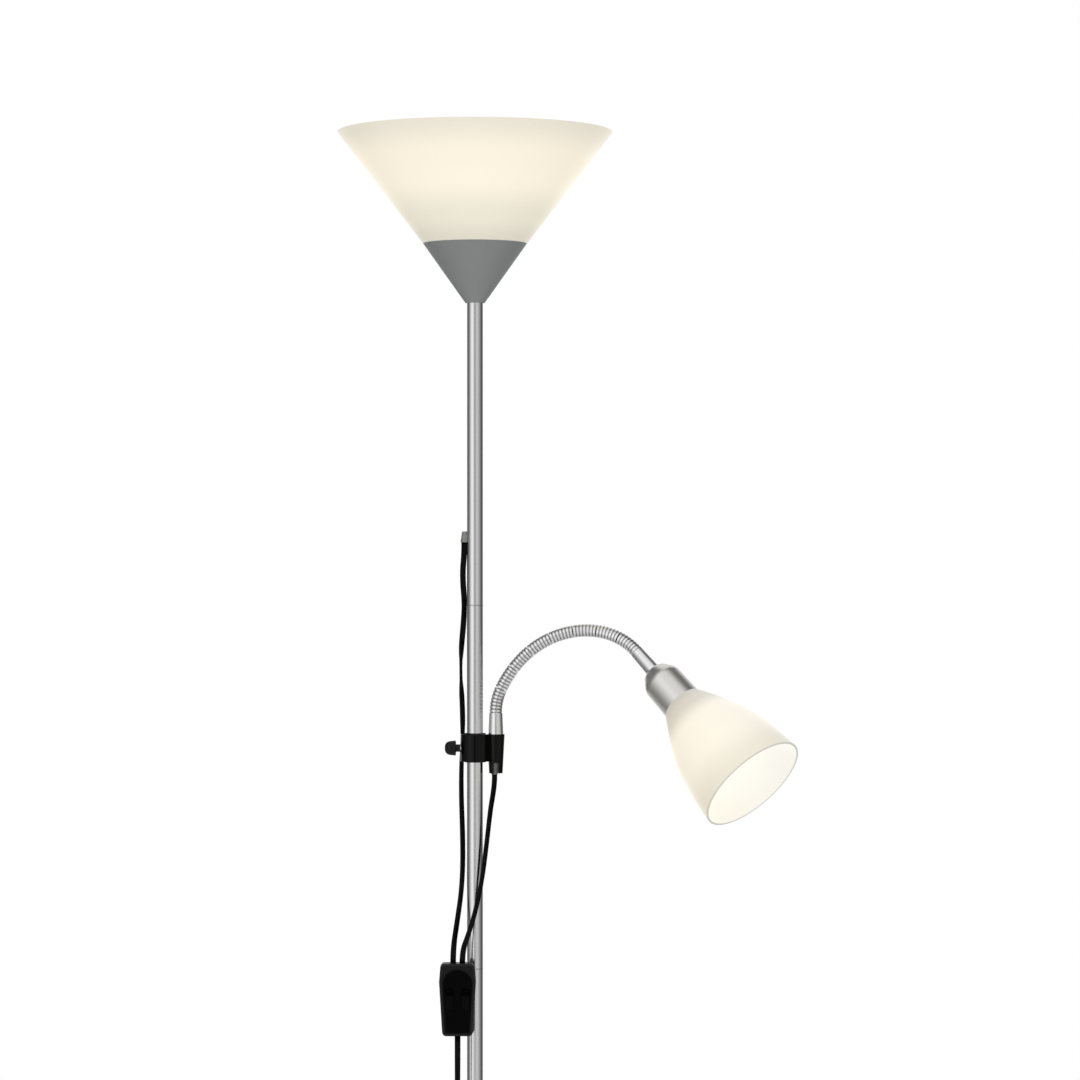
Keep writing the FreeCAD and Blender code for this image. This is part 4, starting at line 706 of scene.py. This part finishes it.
class CordRoute:
    """Smooth line of a cord: a quadratic NURBS whose control points are the route's points."""

    steps: int = 8      # points of the line for each control point
    order: int = 3      # quadratic

    def __init__(self, name: str, controls: np.ndarray) -> None:
        """Evaluate the spline.

        Args:
            name: Name of the cord.
            controls: The route's points, in metres.
        """
        curve = bpy.data.curves.new(name + "_line", "CURVE")
        curve.dimensions = "3D"
        curve.resolution_u = self.steps
        spline = curve.splines.new("NURBS")
        spline.points.add(len(controls) - 1)
        spline.points.foreach_set("co", np.c_[controls, np.ones(len(controls))].ravel())
        spline.order_u = self.order
        spline.use_endpoint_u = True
        holder = bpy.data.objects.new(name + "_line", curve)
        line = bpy.data.meshes.new_from_object(holder)
        spots = np.empty(len(line.vertices) * 3)
        line.vertices.foreach_get("co", spots)
        self.points = spots.reshape(-1, 3)
        bpy.data.objects.remove(holder)
        bpy.data.curves.remove(curve)
        bpy.data.meshes.remove(line)
        self.run = np.r_[0.0, np.cumsum(np.linalg.norm(np.diff(self.points, axis=0), axis=1))]

    @property
    def length(self) -> float:
        """Length of the line in metres."""
        return float(self.run[-1])

    def tangents(self) -> np.ndarray:
        """Unit tangents, by central differences."""
        slopes = np.gradient(self.points, axis=0)
        return slopes / np.linalg.norm(slopes, axis=1, keepdims=True)


@dataclass
class TwinCord:
    """Flat twin cord whose two cores leave a shallow groove between them."""

    width: float = 5.4 * MM
    thickness: float = 3.2 * MM
    around: int = 28
    groove_depth: float = 0.22      # over half the thickness
    groove_width: float = 0.30      # as a cosine round the section
    swap: float = 4.0               # how steeply one core gives way to the other

    def outline(self) -> tuple[np.ndarray, np.ndarray]:
        """Section of the cord: two round cores side by side.

        At angle t the point lies core * cos t beyond one of the two centres, which swap by a steep tanh of
        cos t, and half the thickness * sin t above them, less a groove where cos t is small.

        Returns:
            The points' places across and above.
        """
        turn = np.linspace(0, 2 * np.pi, self.around, endpoint=False)
        core = self.thickness / 2
        centre = self.width / 2 - core
        across = centre * np.tanh(self.swap * np.cos(turn)) / math.tanh(self.swap) + core * np.cos(turn)
        groove = 1 - self.groove_depth * np.exp(-(np.cos(turn) / self.groove_width) ** 2)
        return across, core * np.sin(turn) * groove

    def tube(self, name: str, route: CordRoute, lies: Sequence[Lie]) -> bpy.types.Object:
        """Carry the section along a route.

        Each ring is the route's point plus the section's places across and above, times the unit ways of the
        cord's width and thickness there. Both ends are closed by a fan.

        Args:
            name: The piece's name.
            route: The line to follow.
            lies: How the cord lies along the line.

        Returns:
            The piece.
        """
        tangents = route.tangents()
        places = np.array([place for place, _ in lies])
        ways = np.array([way for _, way in lies], dtype=float)
        wide = np.stack([np.interp(route.run, places, ways[:, axis]) for axis in range(3)], axis=1)
        wide -= tangents * np.sum(wide * tangents, axis=1, keepdims=True)
        wide /= np.linalg.norm(wide, axis=1, keepdims=True)
        thick = np.cross(tangents, wide)
        across, above = self.outline()
        rings = (route.points[:, None, :] + wide[:, None, :] * across[None, :, None]
                 + thick[:, None, :] * above[None, :, None])
        points = np.concatenate([rings.reshape(-1, 3), route.points[:1], route.points[-1:]])
        faces = grid_faces(len(rings), self.around)
        ring = np.arange(self.around)
        after = (ring + 1) % self.around
        middle = len(rings) * self.around
        last = middle - self.around
        faces += list(zip(after.tolist(), ring.tolist(), [middle] * self.around))
        faces += list(zip((last + ring).tolist(), (last + after).tolist(), [middle + 1] * self.around))
        return mesh_object(name, points, faces)


# ---- Sub-assemblies ----
@dataclass
class SubAssembly:
    """A part of the lamp, with the CAD nodes that wear each finish."""

    wears: tuple[tuple[Finish, str], ...] = ()

    def dress(self, finish: Finish, names: str) -> None:
        """Give CAD nodes a finish.

        Args:
            finish: The finish.
            names: The nodes, with spaces between them.
        """
        for name in names.split():
            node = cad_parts[name]
            material = finish.material()
            if not node.data.materials:
                node.data.materials.append(material)
            for index in range(len(node.data.materials)):
                node.data.materials[index] = material
            log.info("dressed %s in %s", name, finish.name)

    def make(self) -> None:
        """Dress the sub-assembly."""
        for finish, names in self.wears:
            self.dress(finish, names)


@dataclass
class Base(SubAssembly):
    """Round weighted base with its fixings."""

    wears: tuple[tuple[Finish, str], ...] = (
        (PAD, "base_pad"), (IRON, "base_weight"), (BASE_SILVER, "base_cover"),
        (ZINC, "base_nut base_washer base_stud"), (POLE_NICKEL, "base_collar"))


@dataclass
class Pole(SubAssembly):
    """Sectional pole with its joiners and the cord outlet."""

    wears: tuple[tuple[Finish, str], ...] = (
        (JOINER_NICKEL, "pole_joiners"), (ZINC, "pole_end_bushes"), (GROMMET_GREY, "cord_grommet"))
    sections: int = 5

    def make(self) -> None:
        """Dress the pole."""
        super().make()
        for number in range(self.sections):
            self.dress(POLE_NICKEL, "pole_tube_%d" % (number + 1))


@dataclass
class TopLight(SubAssembly):
    """Cone shade, its cap and its lampholder."""

    wears: tuple[tuple[Finish, str], ...] = (
        (CONE_GREY, "cone_cap"), (TOP_SHADE, "top_shade"), (HOLDER_WHITE, "top_lampholder top_holder_ring"),
        (ZINC, "top_nipple"), (BULB_CAP, "top_bulb_cap"), (BULB_LIT, "top_bulb_glass"))


@dataclass
class Clamp(SubAssembly):
    """Clamp on the pole with its thumbscrew."""

    wears: tuple[tuple[Finish, str], ...] = (
        (CLAMP_BLACK, "clamp_body"), (LINER_BLACK, "clamp_liner"), (BRASS, "clamp_nut"),
        (ZINC, "thumbscrew_stud"), (KNOB_BLACK, "thumbscrew_knob"), (INSERT_GREY, "socket_insert"))


@dataclass
class InlineSwitch(SubAssembly):
    """Switch with two rockers."""

    wears: tuple[tuple[Finish, str], ...] = (
        (SWITCH_BLACK, "switch_back switch_front"), (ROCKER_BLACK, "rocker_left rocker_right"),
        (ZINC, "switch_screws"), (BRASS, "switch_terminals"))


@dataclass
class ReadingLight(SubAssembly):
    """Bendable arm with its bell light."""

    wears: tuple[tuple[Finish, str], ...] = (
        (ARM_NICKEL, "arm_sleeve_lower arm_sleeve_upper"), (COVER_SILVER, "holder_cover"),
        (BELL_SHADE, "reading_shade"), (HOLDER_WHITE, "reading_lampholder shade_ring"),
        (BULB_CAP, "reading_bulb_cap"), (BULB_LIT, "reading_bulb_glass"))
    foot: Point = (19.3 * MM, 0.0, 1263.2 * MM)
    segment_length: float = 22.4 * MM
    # Elevation and heading, in degrees, of the arm's centre line at the ends of its segments
    directions: tuple[tuple[float, float], ...] = (
        (90.0, 7.0), (64.6, 7.0), (52.6, 7.0), (39.4, 7.0), (24.4, 7.5), (9.2, 9.5), (-7.6, 15.0),
        (-25.5, 24.0), (-41.9, 38.0))

    def ribs(self) -> list[GrooveShadeFinish]:
        """Finish of each segment, fitted to its arc.

        The arc turns from one direction to the next within the segment's length, so that its radius is length
        over turn. Its centre lies that far to the side, and its axis is square to both directions.

        Returns:
            The finishes, from the arm's foot up.
        """
        rise, heading = np.radians(np.array(self.directions)).T
        ways = np.stack([np.cos(rise) * np.cos(heading), -np.cos(rise) * np.sin(heading), np.sin(rise)]).T
        finishes = []
        point = np.array(self.foot)
        for number, (before, after) in enumerate(zip(ways[:-1], ways[1:])):
            turn = math.acos(float(before @ after))
            bend = self.segment_length / turn
            side = after - before * float(before @ after)
            side /= np.linalg.norm(side)
            axis = np.cross(before, after)
            axis /= np.linalg.norm(axis)
            finishes.append(GrooveShadeFinish(
                "ribbed nickel %d" % (number + 1), ARM_NICKEL.colour, ARM_NICKEL.roughness, metallic=1.0,
                spread=ARM_NICKEL.spread, tint=ARM_NICKEL.tint, scale=ARM_NICKEL.scale,
                centre=tuple((point + side * bend).tolist()), axis=tuple(axis.tolist()), bend=bend))
            chord = before + after
            point = point + chord / np.linalg.norm(chord) * 2 * math.sin(turn / 2) * bend
        log.info("the arm ends at %s", np.round(point, 4).tolist())
        return finishes

    def make(self) -> None:
        """Dress the arm and the light."""
        super().make()
        for number, finish in enumerate(self.ribs()):
            self.dress(finish, "hose_%d" % (number + 1))


SIDE: Point = (1.0, 0.0, 0.0)
FRONT: Point = (0.0, 1.0, 0.0)


@dataclass(frozen=True)
class Lead:
    """A cord: its route in millimetres, how it lies, and what it hangs on and stands for."""

    name: str
    route: tuple[Point, ...]
    lies: tuple[Lie, ...]
    stands_for: tuple[str, ...]
    lay: str = "hanging"
    far_end: str = "object"
    bodies: tuple[str, ...] = ("stand",)
    # In metres, the ends of a stretch along a cord between two bodies
    start: Point = (0.0, 0.0, 0.0)
    end: Point = (0.0, 0.0, 0.0)


LAMP_LEAD = Lead(
    "lamp_lead", stands_for=("lamp_cord",), route=(
        (-10.0, 0.0, 1420.5), (-10.0, 0.0, 1409.0), (-11.8, 3.4, 1390.0), (-9.3, 6.4, 1359.0),
        (-14.3, 11.5, 1310.0), (-11.0, 17.0, 1252.0), (-13.7, 19.0, 1200.0), (-11.2, 14.0, 1136.0),
        (-12.2, 3.5, 1100.0), (-16.4, -9.2, 1070.0), (-19.8, -18.5, 1047.3), (-19.8, -18.5, 1033.6)),
    lies=((0.0, SIDE), (0.045, SIDE), (0.060, (0.75, 0.66, 0.0)), (0.080, SIDE), (0.095, (0.9, 0.4, 0.0)),
          (0.112, FRONT), (0.128, FRONT), (0.142, (0.75, 0.66, 0.0)), (0.165, (0.8, 0.6, 0.0)),
          (0.182, (0.3, 0.95, 0.0)), (0.21, (0.5, 0.85, 0.0)), (0.27, (0.75, 0.66, 0.0)),
          (0.33, (0.62, 0.78, 0.0)), (0.37, (0.75, 0.6, 0.0)), (0.40, SIDE)))
READING_LEAD = Lead(
    "reading_lead", stands_for=("reading_cord",), bodies=("stand", "carriage"),
    start=(-0.006, -0.0174, 1.059), end=(0.0128, -0.0043, 1.158), route=(
        (12.8, -4.3, 1160.0), (10.6, -6.8, 1140.2), (6.9, -12.0, 1110.0), (0.6, -15.5, 1080.0),
        (-6.0, -17.4, 1059.0), (-11.3, -18.5, 1044.8), (-11.3, -18.5, 1033.6)),
    lies=((0.0, (0.6, 0.8, 0.0)), (0.05, (0.5, 0.86, 0.0)), (0.10, (0.62, 0.78, 0.1)), (0.14, SIDE)))
READING_LEAD_TOP = Lead(
    "reading_lead_top", stands_for=("reading_cord_top",), bodies=("carriage", "clamp"),
    start=(0.0132, -0.0040, 1.164), end=(0.0181, 0.0, 1.199), route=(
        (18.1, 0.0, 1205.8), (18.1, 0.0, 1199.0), (16.7, -0.9, 1187.5), (14.3, -2.6, 1173.5),
        (12.8, -4.3, 1160.0)),
    lies=((0.0, (0.8, 0.6, 0.0)), (0.05, (0.6, 0.8, 0.0))))
INNER_LEAD = Lead(
    "inner_lead", stands_for=("inner_cord",), lay="taut", route=(
        (-4.05, 0.0, 1423.35), (-4.05, 0.0, 1490.5), (0.0, 0.0, 1555.5), (0.0, 0.0, 1677.3)),
    lies=((0.0, FRONT), (0.26, FRONT)))
SUPPLY_LEAD = Lead(
    "supply_lead", stands_for=("supply_cord", "supply_coil"), lay="coiled", far_end="plug", route=(
        (-15.7, -18.5, 967.1), (-15.7, -18.5, 925.0), (-16.2, -16.8, 860.0), (-17.6, -13.6, 785.0),
        (-19.4, -9.6, 710.0), (-21.8, -4.4, 635.0), (-24.8, 2.2, 560.0), (-28.6, 10.4, 485.0),
        (-33.4, 20.6, 410.0), (-39.4, 33.2, 336.0), (-47.0, 48.8, 265.0), (-56.5, 68.0, 199.0),
        (-68.0, 91.0, 141.0), (-80.5, 117.0, 93.0), (-93.0, 145.0, 54.0), (-103.0, 173.0, 24.0),
        (-110.0, 201.0, 7.2), (-112.5, 226.0, 1.65), (-112.5, 249.0, 1.65)),
    lies=((0.0, SIDE), (0.04, (0.85, 0.5, 0.0)), (0.10, (0.7, 0.7, 0.0)), (0.30, (0.8, -0.6, 0.0)),
          (0.60, (0.8, 0.4, 0.0)), (0.90, (0.9, 0.3, 0.1)), (1.03, SIDE), (1.06, SIDE)))


@dataclass
class Coil:
    """Spare length of the supply cord in two layers, in millimetres."""

    centre: Point = (-78.1, 254.4, 1.65)
    inner: float = 26.0
    outer: float = 34.4
    half_turns: int = 3                 # in each layer
    layer: float = 3.35                 # height of one layer over the other
    steps: int = 10                     # control points in a half turn
    last_rise: float = 0.6              # half turns in which the cord rises to the plug
    plug_height: float = 7.2            # of the plug's middle
    straight: float = 5.4               # run into the plug
    margin: float = 3.0                 # round the coil, for what counts as within it
    top: float = 9.0                    # and its highest point, for the same

    def points(self) -> np.ndarray:
        """Control points of the coil and of the run into the plug.

        The angle grows evenly. The radius falls by the same step in each half turn of the lower layer, stays
        in the half turn that climbs, and grows again in the upper layer. The height climbs in that half turn,
        and rises to the plug's middle near the end.

        Returns:
            N x 3 array.
        """
        last = 2 * self.half_turns + 1
        place = np.arange(1, last * self.steps + 1) / self.steps
        corners = np.arange(last + 1)
        shares = np.minimum(corners, corners[::-1]) / self.half_turns
        radius = np.interp(place, corners, self.outer - (self.outer - self.inner) * shares)
        turn = place * np.pi
        climb = np.interp(place, [0, self.half_turns, self.half_turns + 1, last - self.last_rise, last],
                          [0, 0, self.layer, self.layer, self.plug_height - self.centre[2]])
        coil = np.array(self.centre) + np.stack(
            [-radius * np.cos(turn), radius * np.sin(turn), climb], axis=1)
        return np.concatenate([coil, coil[-1] - np.outer([0.5, 1.0], [0.0, self.straight, 0.0])])

    def lies(self, route: CordRoute) -> tuple[Lie, ...]:
        """Where the cord's width lies level and square to the line, all the way through the coil.

        Args:
            route: The supply cord's line.

        Returns:
            How the cord lies, at every point of the coil.
        """
        away = np.hypot(*(route.points[:, :2] - np.array(self.centre[:2]) * MM).T)
        within = (away < (self.outer + self.margin) * MM) & (route.points[:, 2] < self.top * MM)
        first = int(np.argmax(within))
        tangents = route.tangents()
        level = np.stack([tangents[:, 1], -tangents[:, 0], np.zeros(len(tangents))], axis=1)
        return tuple((float(route.run[i]), tuple(level[i])) for i in range(first, len(level)))


@dataclass
class Cords(SubAssembly):
    """Every cord of the lamp, with the coil, its tie and the plug."""

    wears: tuple[tuple[Finish, str], ...] = (
        (TIE_BLACK, "cord_tie"), (PLUG_BLACK, "plug_body"), (PIN_NICKEL, "plug_pins"))
    cord: TwinCord = field(default_factory=TwinCord)
    coil: Coil = field(default_factory=Coil)
    leads: tuple[Lead, ...] = (LAMP_LEAD, READING_LEAD, READING_LEAD_TOP, INNER_LEAD, SUPPLY_LEAD)
    plug: tuple[str, ...] = ("plug_body", "plug_pins", "cord_tie")

    def place(self, lead: Lead) -> None:
        """Args:
            lead: The cord.
        """
        plugged = lead.far_end == "plug"
        controls = millimetres([*lead.route, *self.coil.points()] if plugged else lead.route)
        route = CordRoute(lead.name, controls)
        piece = self.cord.tube(lead.name, route, lead.lies + (self.coil.lies(route) if plugged else ()))
        if len(lead.bodies) == 2:
            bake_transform(piece)
        piece.data.materials.append(CORD_BLACK.material())
        if len(lead.bodies) == 1:
            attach(piece, lead.bodies[0])
        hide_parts(*lead.stands_for)
        log.info("cord %s is %.3f m long", piece.name, route.length)

    def make(self) -> None:
        """Build and dress the cords, the tie and the plug."""
        for lead in self.leads:
            self.place(lead)
        super().make()


# ---- Studio ----
def seen_directly(nodes: Nodes) -> Socket:
    """Socket that is 1 for camera, glossy and transmission rays and 0 for all others.

    Args:
        nodes: Nodes of the material or world.

    Returns:
        The socket.
    """
    rays = nodes.add("LightPath").outputs
    either = nodes.number("MAXIMUM", rays["Is Camera Ray"], rays["Is Glossy Ray"])
    return nodes.number("MAXIMUM", either, rays["Is Transmission Ray"])


@dataclass(frozen=True)
class SoftLamp:
    """Soft square lamp: its place and aim, its side in metres and its power in watts."""

    name: str
    at: Point
    power: float
    aim: Point = (0.0, 0.0, 1.4)
    size: float = 1.6

    def make(self) -> None:
        """Hang the lamp."""
        data = bpy.data.lights.new(self.name, "AREA")
        data.size = self.size
        data.energy = self.power
        made = bpy.data.objects.new(self.name, data)
        away = np.array(self.at) - np.array(self.aim)
        made.location = self.at
        made.rotation_euler = (math.atan2(math.hypot(away[0], away[1]), away[2]), 0.0,
                               math.atan2(away[1], away[0]) + math.pi / 2)
        made.visible_glossy = False
        bpy.context.scene.collection.objects.link(made)


@dataclass
class Studio:
    """Camera, floor, lamps, white background, and the lights and flags that gloss mirrors."""

    camera_at: Point = (0.0601, -3.462, 1.4226)
    lens: float = 124.77
    sensor: float = 36.0
    sees_to: float = 60.0
    lamps: tuple[SoftLamp, ...] = (
        SoftLamp("key", (-0.9, -3.0, 2.9), 58.0), SoftLamp("fill", (1.8, -2.2, 1.6), 16.0))
    room_light: float = 0.50
    floor_rings: tuple[float, ...] = (0.0001, 0.3, 0.8, 1.5, 2.8)
    floor_sides: int = 96
    floor_fade: tuple[float, float] = (1.0, 2.66)
    floor_colour: Colour = (0.93, 0.93, 0.93, 1.0)
    floor_roughness: float = 0.9
    walls_radius: float = 9.0
    walls_centre: Point = (0.0, 0.0, 1.3)
    walls_end: float = 150.0
    walls_rise: tuple[float, float] = (-40.0, 90.0)
    walls_grid: tuple[int, int] = (25, 61)
    # Brightness of the set by its bearing from the front, in degrees
    bearings: tuple[Level, ...] = (
        (-180, 0.95), (-160, 0.70), (-136, 0.18), (-107, 0.15), (-86, 0.36), (-67, 0.76), (-51, 1.22),
        (-36, 1.38), (-21, 0.98), (-10, 0.84), (10, 0.86), (21, 0.80), (36, 0.80), (51, 0.73), (67, 0.46),
        (86, 0.27), (107, 0.10), (130, 0.16), (150, 0.70), (180, 0.95))
    # Share of that light left in the dark opening around the camera, and the opening's inner and outer sines
    opening: float = 0.15
    opening_edges: tuple[float, float] = (0.05, 0.14)
    opening_height: float = 2.6     # times its width
    # Brightness of the set overhead, from the front (0) to the back (1), and the heights between which it
    # takes over, as shares of the radius
    ceiling: tuple[Level, ...] = (
        (0.0, 0.7), (0.25, 1.15), (0.40, 0.95), (0.47, 0.45), (0.54, 0.18), (1.0, 0.12))
    ceiling_edges: tuple[float, float] = (0.5, 0.85)

    def camera(self) -> None:
        """Level camera at the photograph's height and distance."""
        data = bpy.data.cameras.new("view")
        data.lens = self.lens
        data.sensor_width = self.sensor
        data.clip_end = self.sees_to
        made = bpy.data.objects.new("view", data)
        made.location = self.camera_at
        made.rotation_euler = (math.pi / 2, 0.0, 0.0)
        bpy.context.scene.collection.objects.link(made)
        bpy.context.scene.camera = made

    def floor(self) -> None:
        """Pale floor disc that turns into the white room towards its edge.

        Radius and angle run over an even grid around the middle: x is radius * cos angle and y is radius *
        sin angle.
        """
        turn = np.linspace(0, 2 * np.pi, self.floor_sides, endpoint=False)
        out, turn = np.meshgrid(self.floor_rings, turn, indexing="ij")
        points = np.stack([out * np.cos(turn), out * np.sin(turn), np.zeros(out.shape)], axis=-1)
        made = mesh_object("studio_floor", points.reshape(-1, 3), grid_faces(*out.shape))
        material, nodes, shader = new_material("pale floor")
        nodes.feed(shader, {"Base Color": self.floor_colour, "Roughness": self.floor_roughness})
        away = nodes.vector("LENGTH", nodes.add("TexCoord").outputs["Object"])
        white = nodes.number("MULTIPLY", seen_directly(nodes), nodes.smooth(away, *self.floor_fade))
        mix = nodes.add("MixShader", {
            0: white, 1: shader.outputs[0], 2: nodes.add("Emission").outputs[0]})
        nodes.feed(nodes.tree.nodes["Material Output"], {"Surface": mix.outputs[0]})
        made.data.materials.append(material)

    def room(self) -> None:
        """White background for the camera, for metal and for glass, and even light for everything else."""
        world = bpy.data.worlds.new("room")
        bpy.context.scene.world = world
        world.use_nodes = True
        nodes = Nodes(world.node_tree)
        strength = nodes.number("MULTIPLY_ADD", seen_directly(nodes), 1.0 - self.room_light, self.room_light)
        nodes.feed(nodes.tree.nodes["Background"], {"Color": (1.0, 1.0, 1.0, 1.0), "Strength": strength})

    def walls(self) -> None:
        """Set of soft lights and dark flags round the camera's side, which gloss alone sees.

        Bearing b and elevation e run over an even grid on a sphere around the lamp's middle, at (cos e sin b,
        -cos e cos b, sin e) times its radius. It is open behind the lamp, where gloss mirrors the white
        background.
        """
        rows, columns = self.walls_grid
        bearing = np.radians(np.linspace(-self.walls_end, self.walls_end, columns))
        bearing, rise = np.meshgrid(bearing, np.radians(np.linspace(*self.walls_rise, rows)))
        level = np.cos(rise)
        ways = np.stack([level * np.sin(bearing), -level * np.cos(bearing), np.sin(rise)], axis=-1)
        made = mesh_object("studio_walls", ways.reshape(-1, 3) * self.walls_radius + self.walls_centre,
                           grid_faces(rows, columns, around=False))
        material, nodes, shader = new_material("soft lights and flags")
        material.cycles.emission_sampling = "NONE"
        nodes.tree.nodes.remove(shader)
        away = nodes.vector("SUBTRACT", nodes.add("TexCoord").outputs["Object"], self.walls_centre)
        apart = nodes.add("SeparateXYZ", {0: away}).outputs

        turn = nodes.number("ARCTAN2", apart["X"], nodes.number("MULTIPLY", apart["Y"], -1.0))
        around = nodes.levels(nodes.number("MULTIPLY_ADD", turn, 1.0 / (2.0 * math.pi), 0.5),
                              [(angle / 360.0 + 0.5, level) for angle, level in self.bearings])
        beside = nodes.vector("MULTIPLY", away, (
            1.0 / self.walls_radius, 0.0, 1.0 / self.walls_radius / self.opening_height))
        opening = nodes.smooth(nodes.vector("LENGTH", beside), *self.opening_edges, start=self.opening)
        depth = nodes.number("MULTIPLY_ADD", apart["Y"], 0.5 / self.walls_radius, 0.5)
        over = nodes.smooth(apart["Z"], *(edge * self.walls_radius for edge in self.ceiling_edges))
        strength = nodes.mix("FLOAT", over, nodes.number("MULTIPLY", around, opening),
                             nodes.levels(depth, self.ceiling))
        glow = nodes.add("Emission", {"Strength": strength})
        nodes.feed(nodes.tree.nodes["Material Output"], {"Surface": glow.outputs[0]})
        made.data.materials.append(material)
        for rays in ("camera", "diffuse", "transmission", "volume_scatter", "shadow"):
            setattr(made, "visible_" + rays, False)

    def make(self) -> None:
        """Set up the studio."""
        self.camera()
        self.floor()
        self.room()
        self.walls()
        for lamp in self.lamps:
            lamp.make()
        bpy.context.scene.view_settings.view_transform = "Standard"


def main() -> None:
    """Build the whole lamp in its studio."""
    logging.basicConfig(level=logging.INFO, format="%(name)s: %(message)s")
    Studio().make()
    for assembly in (Cords(), Base(), Pole(), TopLight(), Clamp(), ReadingLight(), InlineSwitch()):
        assembly.make()
        log.info("finished %s", type(assembly).__name__)


if __name__ == "__main__":
    main()
